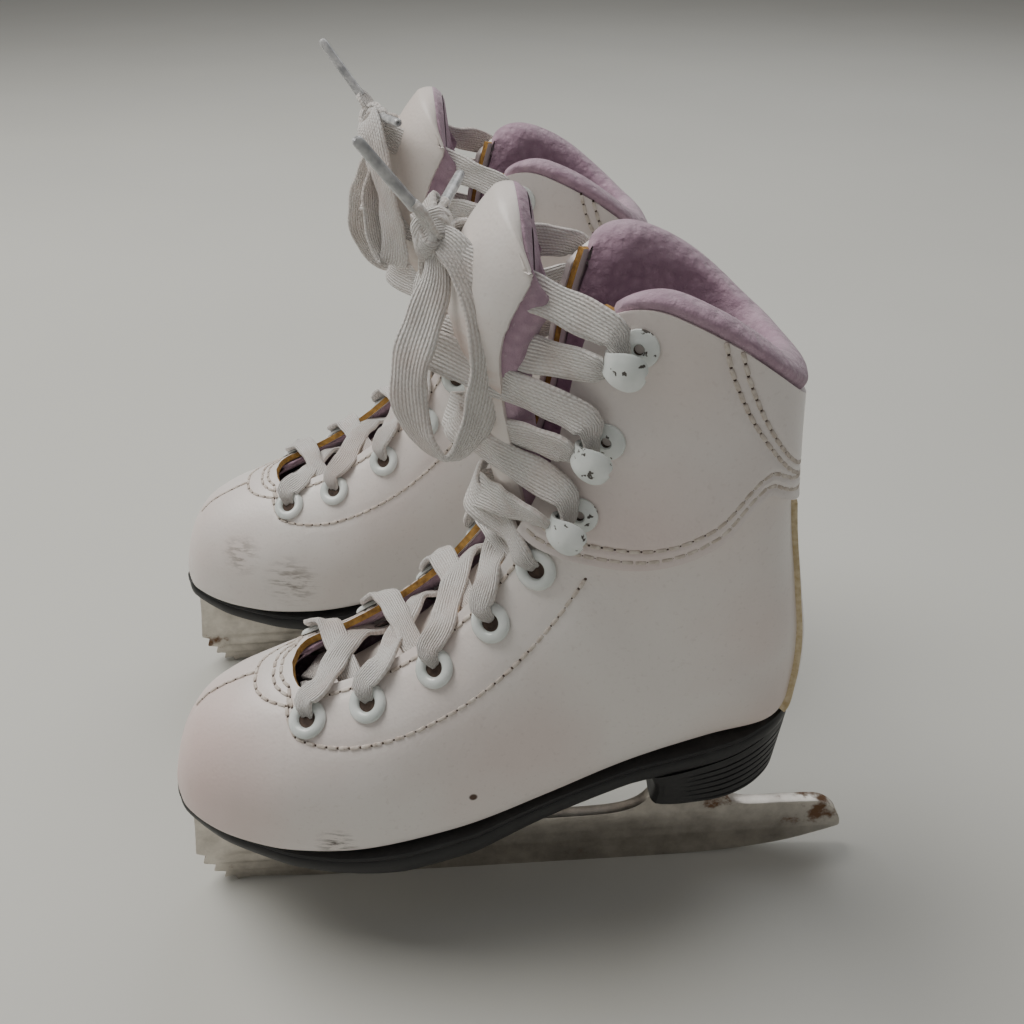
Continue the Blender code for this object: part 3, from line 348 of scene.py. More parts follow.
def moulded_rubber(name):
    look, tree, shader, where = start(name, 0.5)
    dust = add(tree, "TexNoise", Vector=where, Scale=75.0, Detail=6.0, Roughness=0.7)
    colour = lay_colour(tree, hex_colour("19191b"), hex_colour("4a4a4a"), dust, 0.5, 0.8, 0.5)
    tree.links.new(colour, shader.inputs["Base Color"])
    rough = add(tree, "MapRange", Value=dust, i1=0.3, i2=0.7, i3=0.36, i4=0.6)
    tree.links.new(rough, shader.inputs["Roughness"])
    skin = add(tree, "TexNoise", Vector=where, Scale=1500.0, Detail=2.0)
    bump = add(tree, "Bump", Strength=0.2, Distance=0.0002, Height=skin)
    tree.links.new(bump, shader.inputs["Normal"])
    return look


def acetate_film(name):
    look, tree, shader, where = start(name, 0.22, IOR=1.47, Coat_Weight=0.5, Coat_Roughness=0.1)
    wrap = add(tree, "TexNoise", Vector=where, Scale=420.0, Detail=2.0)
    colour = lay_colour(tree, hex_colour("cfd0d1"), hex_colour("9fa1a4"), wrap, 0.35, 0.65)
    tree.links.new(colour, shader.inputs["Base Color"])
    bump = add(tree, "Bump", Strength=0.3, Distance=0.0003, Height=wrap)
    tree.links.new(bump, shader.inputs["Normal"])
    return look


RUST = [(at("left", 180, 0, 18), 16.0), (at("left", 2, 0, 8), 9.0), (at("left", 150, 0, 24), 9.0),
        (at("right", 180, 0, 18), 14.0), (at("right", 2, 0, 8), 9.0)]
EYELET_ENAMEL = enamel("white_enamelled_brass", 0.80)
HOOK_ENAMEL = enamel("chipped_white_enamel", 0.63)
STEEL = ground_steel("nickel_plated_steel", "cfc9c0", "aca69e", RUST)
BARE_METAL = ground_steel("bare_eyelet_metal", "8d8a86", "63605c", [])
RUBBER = moulded_rubber("moulded_black_rubber")
TIP_FILM = acetate_film("acetate_lace_tip")
print("hard finishes", STEEL.name, RUBBER.name, HOOK_ENAMEL.name)

# %% [markdown]
# ### Floor
# A plain pale floor under the skates, slightly mottled like painted board.

# %% Pale floor
bpy.ops.mesh.primitive_plane_add(size=9.0, location=(0.0, 2.0, 0.0))
floor = bpy.context.object
floor.name = "pale_floor"
look, tree, shader, where = start("matt_white_board", 0.6)
mottle = add(tree, "TexNoise", Vector=where, Scale=5.0, Detail=3.0)
tone = add(tree, "Mix", RGBA, Factor=mottle, A=hex_colour("d3d3cd"), B=hex_colour("cbcbc5"))
tree.links.new(tone, shader.inputs["Base Color"])
floor.data.materials.append(look)
print("floor", floor.name)

# %% [markdown]
# ## The boot's skin as one function
# A lasted boot has no flat side, but every cross-section of it is a rounded form that changes slowly
# from the toe over the instep and up the ankle. One table of sections and one function of station,
# turn and depth give any point of any layer, so leather, lining, stitches and hooks all fit together.

# %% Sections of the boot
BOOT_HEIGHT = 183.0
THROAT_START = 4.7
SECTIONS = np.array([
    # bottom u, w, ridge u, w, half width, widest, roundness low, high, throat, rise
    (0.6, 46.0, 0.6, 46.0, 0.0, 0.45, 2.4, 2.0, 0.0, 0.0),
    (1.6, 38.8, 3.6, 57.5, 9.0, 0.42, 3.2, 2.2, 0.0, 0.0),
    (6.0, 37.9, 9.5, 66.5, 15.5, 0.40, 4.4, 2.2, 0.0, 0.0),
    (14.0, 37.3, 18.0, 72.0, 21.5, 0.38, 5.4, 2.1, 0.0, 0.0),
    (24.0, 37.0, 28.0, 76.0, 26.0, 0.36, 6.0, 2.0, 0.0, 0.0),
    (33.0, 37.0, 36.5, 79.0, 28.5, 0.35, 6.4, 2.0, 9.5, 0.0),
    (46.0, 37.5, 48.5, 84.0, 30.3, 0.34, 6.4, 2.0, 12.0, 0.0),
    (60.0, 39.0, 60.5, 91.5, 30.5, 0.34, 6.0, 2.0, 13.0, 0.0),
    (78.0, 42.0, 71.0, 101.0, 29.3, 0.36, 5.4, 2.0, 13.5, 0.0),
    (97.0, 48.0, 78.0, 111.0, 28.0, 0.38, 4.6, 2.0, 14.0, 0.0),
    (118.0, 55.5, 82.5, 120.5, 27.0, 0.42, 4.0, 2.0, 14.5, 0.0),
    (140.0, 61.5, 85.0, 129.5, 26.8, 0.46, 3.6, 2.0, 15.0, 0.0),
    (157.0, 63.5, 87.0, 138.0, 26.8, 0.48, 2.9, 2.0, 15.5, 0.0),
    (162.0, 72.0, 88.5, 146.0, 26.6, 0.47, 2.2, 2.0, 16.0, 0.0),
    (161.6, 87.0, 90.0, 153.5, 26.6, 0.45, 2.2, 2.0, 16.5, 0.5),
    (158.4, 103.0, 91.5, 161.0, 27.0, 0.44, 2.2, 2.0, 17.0, 1.5),
    (154.6, 121.0, 93.0, 168.0, 27.3, 0.44, 2.2, 2.0, 17.5, 3.2),
    (152.4, 138.5, 95.0, 175.5, 27.2, 0.44, 2.2, 2.0, 18.0, 4.8),
    (151.2, 154.5, 97.5, BOOT_HEIGHT, 27.0, 0.45, 2.2, 2.0, 18.5, 6.2),
    (151.0, 162.5, 99.6, BOOT_HEIGHT + 7.0, 27.4, 0.45, 2.2, 2.0, 19.0, 6.2),
])


def section_at(station):
    last = len(SECTIONS) - 1
    station = min(max(station, 0.0), float(last))
    low = min(int(station), last - 1)
    part = station - low
    before, start_row, end_row = SECTIONS[max(low - 1, 0)], SECTIONS[low], SECTIONS[low + 1]
    after = SECTIONS[min(low + 2, last)]
    bend = 2.0 * before - 5.0 * start_row + 4.0 * end_row - after
    row = 2.0 * start_row + (end_row - before) * part + bend * part**2
    row = 0.5 * (row + (3.0 * start_row - before - 3.0 * end_row + after) * part**3)
    if station < THROAT_START:
        row[8] = 0.0
    elif station < 5.0:
        row[8] = SECTIONS[5][8] * math.sqrt((station - THROAT_START) / (5.0 - THROAT_START))
    if station < 1.0:
        row[4] = SECTIONS[1][4] * math.sqrt(part)
    return row


def boot(station, turn, depth=0.0):
    """Point of the boot in mm: turn -1..1 runs outer edge, sole or back, inner edge."""
    row = section_at(station)
    toe = math.exp(-station / 1.3)
    bottom = np.array([row[0] + depth * toe, row[1]])
    up = np.array([row[2] + depth * toe, row[3]]) - bottom
    height = max(np.linalg.norm(up), 1e-6)
    up = up / height
    shrink = min(depth, 0.45 * height)
    bottom = bottom + up * shrink
    height = height - 2.0 * shrink
    half = max(row[4] - depth, 0.0)
    widest = row[5]
    throat = min(row[8] / max(row[4], 1e-6), 0.98)
    end = math.acos(throat ** (row[7] / 2.0)) if throat > 0.0 else math.pi / 2
    angle = -math.pi / 2 + abs(turn) * (math.pi / 2 + end)
    if angle < 0.0:
        power = 2.0 / row[6]
        share = widest - widest * abs(math.sin(angle)) ** power
    else:
        power = 2.0 / row[7]
        share = widest + (1.0 - widest) * math.sin(angle) ** power
    across = half * max(math.cos(angle), 0.0) ** power
    rise = row[9] * math.sin(math.pi * min(max(share, 0.0), 1.0))
    place = bottom + up * height * share - np.array([-up[1], up[0]]) * rise
    return np.array([place[0], (-1.0 if turn < 0 else 1.0) * across, place[1]])


def outward(station, turn):
    """Unit vector leaving the skin."""
    turn = max(min(turn, 0.985), -0.985)
    a = boot(station + 0.02, turn) - boot(station - 0.02, turn)
    b = boot(station, turn + 0.005) - boot(station, turn - 0.005)
    n = np.cross(b, a)
    n = n / max(np.linalg.norm(n), 1e-9)
    row = section_at(station)
    centre = np.array([(row[0] + row[2]) / 2, 0.0, (row[1] + row[3]) / 2])
    return -n if np.dot(n, boot(station, turn) - centre) < 0 else n


def turn_from_edge(station, side, distance):
    """The turn value that lies a distance in from the edge of the throat."""
    turn = 1.0
    edge = boot(station, side)
    while turn > 0.1 and np.linalg.norm(boot(station, side * turn) - edge) < distance:
        turn -= 0.002
    return side * turn


def seam_station(turn):
    """Lower edge of the cuff, from the back seam down to the facing."""
    part = max((abs(turn) - 0.43) / 0.57, 0.0)
    level = 0.16 * max(1.0 - (turn / 0.43) ** 2, 0.0)
    return 16.35 + level - 5.25 * part**2 * (3.0 - 2.0 * part)


print("girth point", boot(7.0, -0.5).round(1), "collar back", boot(18.0, 0.0).round(1))

# %% [markdown]
# ## Working helpers
# A flat grid primitive is the start of every skin: its points are laid on the boot by a function of
# two shares, then merged, thickened, bevelled and smoothed by modifiers. Turned pieces start as a
# circle that is extruded and scaled ring by ring, as on a lathe.


# %% Modelling helpers
def only(obj):
    bpy.ops.object.select_all(action="DESELECT")
    obj.select_set(True)
    bpy.context.view_layer.objects.active = obj


def modify(obj, kind, **settings):
    only(obj)
    made = obj.modifiers.new(kind.title(), kind)
    for key, value in settings.items():
        setattr(made, key, value)
    bpy.ops.object.modifier_apply(modifier=made.name)


def weld(obj, gap=0.00001):
    only(obj)
    bpy.ops.object.mode_set(mode="EDIT")
    bpy.ops.mesh.select_all(action="SELECT")
    bpy.ops.mesh.remove_doubles(threshold=gap)
    bpy.ops.mesh.dissolve_degenerate(threshold=1e-7)
    bpy.ops.mesh.normals_make_consistent(inside=False)
    bpy.ops.object.mode_set(mode="OBJECT")


def close_rims(obj):
    """Fill the open rims of a skin, then merge its doubles."""
    bpy.ops.object.mode_set(mode="EDIT")
    bpy.ops.mesh.select_all(action="DESELECT")
    bpy.ops.mesh.select_non_manifold()
    bpy.ops.mesh.edge_face_add()
    bpy.ops.object.mode_set(mode="OBJECT")
    weld(obj)


def points_of(obj):
    flat = np.empty(len(obj.data.vertices) * 3)
    obj.data.vertices.foreach_get("co", flat)
    return flat.reshape(-1, 3)


def move_points(obj, points):
    obj.data.vertices.foreach_set("co", np.ascontiguousarray(points, dtype=float).ravel())
    obj.data.update()


def face_away(obj):
    """Turn the faces of an open skin away from the middle plane of the boot."""
    total = sum(f.normal.y * f.center.y * f.area for f in obj.data.polygons)
    if total < 0:
        obj.data.flip_normals()


def skin(name, along, across, place, closed=False):
    """A grid whose points go where place(share along, share across) says, in mm."""
    bpy.ops.mesh.primitive_grid_add(x_subdivisions=along, y_subdivisions=across, size=1.0)
    obj = bpy.context.object
    obj.name = name
    spread = points_of(obj)
    laid = [place(min(max(a + 0.5, 0.0), 1.0), min(max(b + 0.5, 0.0), 1.0)) for a, b, _ in spread]
    move_points(obj, np.array(laid) * MM)
    weld(obj)
    if not closed:
        face_away(obj)
    return obj


def turned(name, rings, steps=32):
    """A turned piece: rings are (radius, height) in mm, from one end to the other."""
    radius, height = rings[0]
    bpy.ops.object.select_all(action="DESELECT")
    bpy.ops.mesh.primitive_circle_add(
        vertices=steps, radius=radius * MM, location=(0, 0, height * MM))
    obj = bpy.context.object
    obj.name = name
    bpy.ops.object.transform_apply(location=True)
    bpy.ops.object.mode_set(mode="EDIT")
    bpy.ops.mesh.select_all(action="SELECT")
    for wide, high in rings[1:]:
        rise = (0.0, 0.0, (high - height) * MM)
        bpy.ops.mesh.extrude_region_move(TRANSFORM_OT_translate={"value": rise})
        bpy.ops.transform.resize(
            value=(wide / radius, wide / radius, 1.0), center_override=(0, 0, high * MM))
        radius, height = wide, high
    bpy.ops.object.mode_set(mode="OBJECT")
    weld(obj)
    return obj


def smooth(obj, degrees=40.0):
    only(obj)
    bpy.ops.object.shade_smooth_by_angle(angle=math.radians(degrees))


def dress(obj, *looks):
    obj.data.materials.clear()
    for look in looks:
        obj.data.materials.append(look)


def aim(place, normal, heading):
    """Matrix that stands a piece on the skin: z along the normal, x along the heading."""
    z = Vector(normal).normalized()
    x = Vector(heading)
    x = (x - z * x.dot(z)).normalized()
    y = z.cross(x)
    turn = Matrix((x, y, z)).transposed().to_4x4()
    return Matrix.Translation(Vector(place) * MM) @ turn


def joined(name, pieces):
    bpy.ops.object.select_all(action="DESELECT")
    for piece in pieces:
        piece.select_set(True)
    bpy.context.view_layer.objects.active = pieces[0]
    bpy.ops.object.join()
    made = bpy.context.object
    made.name = name
    return made


def copy_at(piece, matrix, name="copy"):
    made = piece.copy()
    made.data = piece.data.copy()
    made.name = name
    made.data.transform(matrix)
    bpy.context.scene.collection.objects.link(made)
    return made


def set_on(piece, name, body, nodes=()):
    """Put copies of a finished piece on the skates, say what they ride on and replace."""
    made = {}
    for side in PLACES:
        copy = copy_at(piece, PLACES[side], side + "_" + name)
        if side == "right":
            copy.data.flip_normals()
        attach(copy, side + "_" + body)
        if nodes:
            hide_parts(*[side + "_" + node for node in nodes])
        made[side] = copy
    bpy.data.objects.remove(piece)
    print(name, "faces", len(made["left"].data.polygons))
    return made


def rounded(points, pieces):
    """Smooth run of points through the given ones."""
    pts = [np.array(p, float) for p in points]
    out = [pts[0]]
    for i in range(len(pts) - 1):
        p0, p1, p2 = pts[max(i - 1, 0)], pts[i], pts[i + 1]
        p3 = pts[min(i + 2, len(pts) - 1)]
        for k in range(1, pieces + 1):
            t = k / pieces
            q = 2 * p1 + (p2 - p0) * t + (2 * p0 - 5 * p1 + 4 * p2 - p3) * t**2
            out.append(0.5 * (q + (3 * p1 - p0 - 3 * p2 + p3) * t**3))
    return out


def even(points, pitch):
    """The same run again with points a fixed distance apart."""
    pts = np.array(points)
    gone = np.concatenate([[0.0], np.cumsum(np.linalg.norm(np.diff(pts[:, :3], axis=0), axis=1))])
    count = max(int(gone[-1] / pitch), 1)
    marks = np.linspace(0.0, gone[-1], count + 1)
    return np.stack([np.interp(marks, gone, pts[:, k]) for k in range(pts.shape[1])], axis=1)


print("helpers ready")

# %% [markdown]
# ## Stitch lines
# The eyelet facing, throat, cuff and heel patch are all sewn with one thread at about 2.8 mm. The lines
# are laid out first, as runs of station and turn, because the leather is pulled in along them.


# %% Lay out the stitch lines
def on_skin(run, depth, pitch):
    """Evenly spaced points and outward normals along a run of (station, turn)."""
    fine = rounded([np.array(p, float) for p in run], 14)
    rows = even([np.array([*boot(s, t, depth), s, t]) for s, t in fine], pitch)
    return [(row[:3], outward(row[3], row[4])) for row in rows]


def both_sides(name, run):
    """A run on the outer side and its mirror on the inner side."""
    return {name + "_outer": run, name + "_inner": [(s, -t) for s, t in run]}


def cuff_run(gap):
    """Line a fixed distance above the lower edge of the cuff."""
    run = []
    for i in range(-24, 25):
        turn = i / 24 * 0.985
        low = seam_station(turn)
        edge = boot(low, turn)
        station = low
        while np.linalg.norm(boot(station, turn) - edge) < gap:
            station += 0.01
        run.append((station, turn))
    return run


def edge_run(first, last, distance, side):
    stations = np.linspace(first, last, 12)
    return [(s, turn_from_edge(s, side, distance)) for s in stations]


FACING = [(3.62, -1.0), (3.66, -0.94), (3.95, -0.885), (4.45, -0.855), (5.1, -0.835), (5.95, -0.80),
          (6.9, -0.78), (8.0, -0.775), (9.0, -0.78), (10.3, -0.80), (11.7, -0.825)]
TOE_ARC = [(4.12, -1.0), (4.14, -0.95), (4.35, -0.905), (4.75, -0.88)]
TOE_ARC_2 = [(4.36, -1.0), (4.38, -0.955), (4.55, -0.925), (4.85, -0.905)]
HEEL_PATCH = [(18.0, -0.64), (17.6, -0.60), (17.25, -0.52), (17.02, -0.4), (16.95, -0.22),
              (16.95, 0.0)]
HEEL_PATCH_2 = [(18.0, -0.685), (17.5, -0.645), (17.1, -0.56), (16.86, -0.42), (16.8, -0.22),
                (16.8, 0.0)]


def whole_patch(run):
    return run + [(s, -t) for s, t in reversed(run[:-1])]


SHELL_LINES = {
    **both_sides("facing_stitches", FACING),
    **both_sides("toe_arc_stitches", TOE_ARC),
    **both_sides("toe_arc_second_stitches", TOE_ARC_2),
    "outer_edge_stitches": edge_run(5.0, 11.6, 2.6, -1),
    "inner_edge_stitches": edge_run(5.0, 11.6, 2.6, 1),
    "toe_seam_stitches": [(1.7, 0.975), (2.6, 0.98), (3.58, 0.985)],
}
CUFF_LINES = {
    "cuff_stitches_low": cuff_run(2.1),
    "cuff_stitches_high": cuff_run(5.0),
    "heel_patch_stitches": whole_patch(HEEL_PATCH),
    "heel_patch_outer_stitches": whole_patch(HEEL_PATCH_2),
}
print("lines", len(SHELL_LINES) + len(CUFF_LINES))


# %% [markdown]
# ### Leather under a seam
# A tight thread draws the leather down, deepest right under the stitch. Points near the line move in
# by a smooth share of the draw, so the seam reads in the light and not only as a row of stitches.

# %% Pull the leather in along a seam
def pull_in(obj, lines, depth_mm, reach_mm, offset):
    """Move points near a seam inwards, deepest right under the thread."""
    marks = [pair for run in lines for pair in on_skin(run, offset, 0.9)]
    tree = kdtree.KDTree(len(marks))
    for i, (place, _) in enumerate(marks):
        tree.insert(Vector(place) * MM, i)
    tree.balance()
    points = points_of(obj)
    for k, point in enumerate(points):
        _, i, gap = tree.find(point)
        if gap < 3.0 * reach_mm * MM:
            share = math.exp(-(gap / (reach_mm * MM)) ** 2)
            points[k] -= marks[i][1] * depth_mm * MM * share
    move_points(obj, points)


print("seam pull ready")

# %% [markdown]
# ## Lower shell
# One white skin wraps the foot from the toe to under the cuff and is open along the throat. It is a
# grid laid on the boot function, welded where it closes over the toe, pulled in at the seams and
# thickened; the rim keeps the ochre of the cut board. Light creases are moved in.


# %% Model the lower shell
def shell_place(a, b):
    return boot(17.6 * a**1.25, 2.0 * b - 1.0)


def crease(obj):
    """Faint creases where the boot bends at the ankle and over the ball."""
    points = points_of(obj)
    u, v, w = points[:, 0] / MM, points[:, 1] / MM, points[:, 2] / MM
    side = np.clip(np.abs(v) / 26.0, 0.0, 1.0)
    ankle = np.exp(-(((u - 118) / 26.0) ** 2 + ((w - 98) / 26.0) ** 2))
    ball = np.exp(-(((u - 52) / 20.0) ** 2 + ((w - 58) / 14.0) ** 2))
    wave = np.sin((u * 0.55 + w * 0.85) / 5.2 + np.sin(u / 17.0)) * ankle * 0.35
    wave += np.sin((u * 0.9 - w * 0.35) / 4.1) * ball * 0.16
    points[:, 1] += np.sign(v) * wave * side * MM
    move_points(obj, points)


shell = skin("lower_shell", 190, 112, shell_place)
pull_in(shell, SHELL_LINES.values(), 0.38, 0.8, 0.0)
pull_in(shell, [[(s, 1.0) for s in np.linspace(0.9, 3.55, 12)]], 0.30, 0.7, 0.0)
crease(shell)
dress(shell, VAMP, OCHRE)
modify(shell, "SOLIDIFY", thickness=1.7 * MM, offset=-1.0, material_offset_rim=1,
       use_quality_normals=True)
smooth(shell, 50)
set_on(shell, "boot_upper", "skate", ["lower_shell"])

# %% [markdown]
# ## Cuff
# A second skin wraps the ankle over the lower one. It ends in a turned edge with two rows of stitches,
# so it is thickened outwards from the gap and its rim is rounded.


# %% Model the cuff
def top_corner(turn):
    """How far the top edge comes down, in stations, as it turns into the throat."""
    return 0.85 * max((abs(turn) - 0.80) / 0.20, 0.0) ** 2.4


def cuff_place(a, b):
    turn = 2.0 * b - 1.0
    low = seam_station(turn)
    top = 18.0 - top_corner(turn)
    station = low + (top - low) * a
    swell = 1.9 + 0.35 * math.exp(-((a * (top - low)) / 0.9) ** 2)
    return boot(station, turn, -swell)


cuff = skin("cuff", 96, 120, cuff_place)
pull_in(cuff, CUFF_LINES.values(), 0.45, 0.85, -2.0)
dress(cuff, CUFF_LEATHER)
modify(cuff, "SOLIDIFY", thickness=1.5 * MM, offset=-1.0, use_quality_normals=True)
modify(cuff, "BEVEL", width=0.5 * MM, segments=3, limit_method="ANGLE", angle_limit=math.radians(50))
smooth(cuff, 60)
set_on(cuff, "ankle_cuff", "skate", ["cuff"])

# %% [markdown]
# ## Back strip
# A narrow doubled strip covers the back seam below the cuff. Its edges are cut, not turned, so a cream
# line shows down each side.


# %% Model the back strip
def strip_place(a, b):
    station = 12.2 + (16.3 - 12.2) * a
    turn = (2.0 * b - 1.0) * (0.15 + 0.05 * math.sin(math.pi * a))
    return boot(station, turn, -1.9)


strip = skin("back_strip", 48, 18, strip_place)
if sum(f.normal.x for f in strip.data.polygons) < 0:
    strip.data.flip_normals()
dress(strip, CUFF_LEATHER, CREAM)
modify(strip, "SOLIDIFY", thickness=1.8 * MM, offset=-1.0, material_offset_rim=1)
smooth(strip, 50)
set_on(strip, "back_strip", "skate", ["backstay"])

# %% [markdown]
# ## Stitches and painted needle-hole shade
# Each stitch is a short rounded bar lying a little sunk in the leather, with a small dark sphere at its
# end as painted shade of the needle hole.
# One stitch of a few dozen faces is modelled once and copied along every line.


# %% Model one stitch and run it along the lines
bpy.ops.object.select_all(action="DESELECT")
bpy.ops.mesh.primitive_cube_add(size=1.0)
bar = bpy.context.object
bpy.ops.object.mode_set(mode="EDIT")
bpy.ops.mesh.select_all(action="SELECT")
bpy.ops.transform.resize(value=(2.35 * MM, 0.9 * MM, 0.72 * MM))
bpy.ops.mesh.bevel(offset=0.26 * MM, segments=2, affect="EDGES")
bpy.ops.object.mode_set(mode="OBJECT")
dress(bar, THREAD)
smooth(bar, 80)
# A small dark sphere set at each stitch end: painted shade of the needle hole
bpy.ops.object.select_all(action="DESELECT")
bpy.ops.mesh.primitive_uv_sphere_add(segments=8, ring_count=5, radius=0.36 * MM)
hole_shade_dot = bpy.context.object
dress(hole_shade_dot, PAINTED_HOLE_SHADE)


def copies(piece, matrices):
    """Every copy of one small piece joined in a single mesh."""
    base = points_of(piece)
    faces = [list(f.vertices) for f in piece.data.polygons]
    count = len(base)
    points = []
    loops = []
    for i, matrix in enumerate(matrices):
        m = np.array(matrix)
        points.append(base @ m[:3, :3].T + m[:3, 3])
        loops += [[c + i * count for c in face] for face in faces]
    mesh = bpy.data.meshes.new("copies")
    mesh.from_pydata(np.concatenate(points).tolist(), [], loops)
    obj = bpy.data.objects.new("copies", mesh)
    bpy.context.scene.collection.objects.link(obj)
    mesh.materials.append(piece.data.materials[0])
    mesh.shade_smooth()
    return obj


def sew(name, run, offset, pitch=2.8):
    marks = on_skin(run, offset, pitch)
    bars = []
    hole_shade_dots = []
    for (start_point, normal), (end_point, _) in zip(marks, marks[1:]):
        middle = (start_point + end_point) / 2
        wobble = 0.06 * math.sin(7.3 * len(bars))
        heading = end_point - start_point + np.cross(normal, end_point - start_point) * wobble
        bars.append(aim(middle + normal * 0.02, normal, heading))
        hole_shade_dots.append(aim(end_point - normal * 0.18, normal, heading))
    row = copies(bar, bars)
    hole_shade_row = copies(hole_shade_dot, hole_shade_dots)
    made = joined(name, [row, hole_shade_row])
    set_on(made, name, "skate")


for name, run in SHELL_LINES.items():
    sew(name, run, 0.22)
for name, run in CUFF_LINES.items():
    sew(name, run, -1.7)

# %% [markdown]
# ## Lining and collar
# A brushed lilac sock lines the whole boot. At the top it is padded and rolls over the cuff as a soft
# collar. It is a closed pad: the skin goes up the outside, over the roll and down the inside, and its
# two layers come together at the throat edges.


# %% Model the padded lining
ROLL = [  # station, depth: up the outside, over the roll, down the inside
    (1.2, 2.0), (3.0, 1.95), (6.0, 1.95), (9.0, 1.95), (12.0, 1.95), (15.0, 1.95), (17.2, 1.95),
    (17.75, 1.4), (18.0, -0.6), (18.2, -1.7), (18.42, -1.9), (18.62, -0.6), (18.76, 1.8), (18.74, 4.2),
    (18.55, 6.4), (18.2, 7.9), (17.7, 8.3), (17.0, 7.6), (16.0, 6.6), (14.0, 6.0), (12.0, 5.6),
    (9.0, 5.2), (6.0, 5.0), (3.0, 4.8), (1.2, 4.6),
]
ROLL_LINE = np.array(rounded(ROLL, 4))


def lining_place(a, b):
    spot = a * (len(ROLL_LINE) - 1)
    low = min(int(spot), len(ROLL_LINE) - 2)
    station, depth = ROLL_LINE[low] + (ROLL_LINE[low + 1] - ROLL_LINE[low]) * (spot - low)
    turn = (2.0 * b - 1.0) * 0.985
    if station > 17.9:
        station = 17.9 + (station - 17.9) * (0.62 + 0.45 * math.exp(-(turn / 0.3) ** 2))
    station -= top_corner(turn) * min(max((station - 13.0) / 4.0, 0.0), 1.0)
    middle = 2.2 if station < 17 else 2.6
    edge = max((abs(turn) - 0.90) / 0.085, 0.0) if station > 4.7 else 0.0
    close = math.sqrt(max(1.0 - min(edge, 1.0) ** 2, 0.0))
    depth = middle + (depth - middle) * close
    drape = 0.25 * math.sin(station * 9.0 + turn * 14.0) * min(max(depth - 3.0, 0.0), 1.0)
    sag = 0.35 * math.sin(turn * 21.0) * max(min((station - 18.3) * 4.0, 1.0), 0.0)
    return boot(station, turn, depth + drape + sag)


lining = skin("lining", len(ROLL_LINE) - 1, 96, lining_place, closed=True)
modify(lining, "SMOOTH", factor=0.5, iterations=2)
dress(lining, FLEECE)
modify(lining, "SUBSURF", levels=1, render_levels=1)
smooth(lining, 180)
for collar in set_on(lining, "padded_lining", "skate", ["lining"]).values():
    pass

# %% [markdown]
# ## Tongue
# The tongue is a long white face sewn over a lilac pad. The pad is wider than the face, so a lilac roll
# shows along both edges and over the top, and the whole tongue is curved round the shin.

# %% Model the tongue face and pad
TONGUE = np.array(rounded([  # front u, w, half width, wrap
    (42.5, 68.5, 10.5, 2.0), (53.5, 74.0, 12.5, 2.5), (65.0, 82.0, 13.5, 3.0), (76.0, 92.5, 13.5, 3.5),
    (84.5, 105.0, 13.5, 5.0), (88.0, 119.5, 14.0, 7.0), (84.5, 137.0, 15.0, 10.0),
    (79.5, 155.0, 17.0, 14.0), (76.8, 171.0, 19.5, 18.5), (79.5, 185.0, 21.0, 21.0),
    (85.5, 194.0, 20.5, 20.5), (90.5, 198.0, 18.5, 18.0),
], 6))
ARC = math.radians(80.0)


def tongue_point(a, b, depth, inset=0.0):
    spot = min(a, 0.9999) * (len(TONGUE) - 1)
    low = int(spot)
    u, w, half, wrap = TONGUE[low] + (TONGUE[low + 1] - TONGUE[low]) * (spot - low)
    ahead = TONGUE[min(low + 3, len(TONGUE) - 1)]
    behind = TONGUE[max(low - 3, 0)]
    along = ahead[:2] - behind[:2]
    along = along / np.linalg.norm(along)
    inward = np.array([along[1], -along[0]])
    widest = ARC
    while (half * (1.0 - math.sin(widest) / math.sin(ARC))
           + wrap * (math.cos(widest) - math.cos(ARC))) < inset:
        widest -= 0.01
    angle = widest * (2.0 * b - 1.0)
    reach = half * math.sin(angle) / math.sin(ARC)
    back = wrap * (1.0 - math.cos(angle)) + depth * math.cos(angle * 0.75)
    sideways = -depth * math.sin(angle * 0.75)
    top = max((a - 0.70) / 0.30, 0.0)
    crown = -13.0 * top**2 * (1.0 - math.cos(angle * 0.9))
    place = np.array([u, w]) + inward * back + along * crown
    return np.array([place[0], reach + sideways, place[1]])


def face_place(a, b):
    inset = 2.8 + 4.0 * min(max((a - 0.5) / 0.2, 0.0), 1.0)
    return tongue_point(a, b, -0.9, inset) + np.array([0.0, 0.0, -2.2 * max((a - 0.93) / 0.07, 0.0)])


def pad_place(a, b):
    """Closed pad: b goes over the front for its first half and back behind for the rest."""
    share = b * 2.0 if b < 0.5 else 2.0 - b * 2.0
    edge = math.sqrt(max(1.0 - abs(2.0 * share - 1.0) ** 6, 0.0))
    end = min(a / 0.02, (1.0 - a) / 0.035, 1.0)
    rim = 3.0 * abs(2.0 * share - 1.0) ** 4
    full = (3.2 + rim) * edge * math.sqrt(max(1.0 - (1.0 - end) ** 2, 0.0))
    puff = 0.5 * math.sin(a * 34.0 + 2.0 * share) * edge
    depth = 3.9 - full if b < 0.5 else 3.9 + full * 0.8 + puff * 0.4
    return tongue_point(a, share, depth)


pad = skin("tongue_pad", 96, 96, pad_place, closed=True)
modify(pad, "SMOOTH", factor=0.5, iterations=2)
dress(pad, FLEECE)
modify(pad, "SUBSURF", levels=1, render_levels=1)
smooth(pad, 180)
for made in set_on(pad, "tongue_pad", "tongue_body", ["tongue_lining"]).values():
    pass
face = skin("tongue_face", 110, 44, face_place)
if sum(f.normal.x for f in face.data.polygons) > 0:
    face.data.flip_normals()
dress(face, TONGUE_LEATHER)
modify(face, "SOLIDIFY", thickness=1.2 * MM, offset=-1.0)
modify(face, "BEVEL", width=0.4 * MM, segments=2, limit_method="ANGLE", angle_limit=math.radians(50))
smooth(face, 60)
set_on(face, "tongue_face", "tongue_body", ["tongue"])
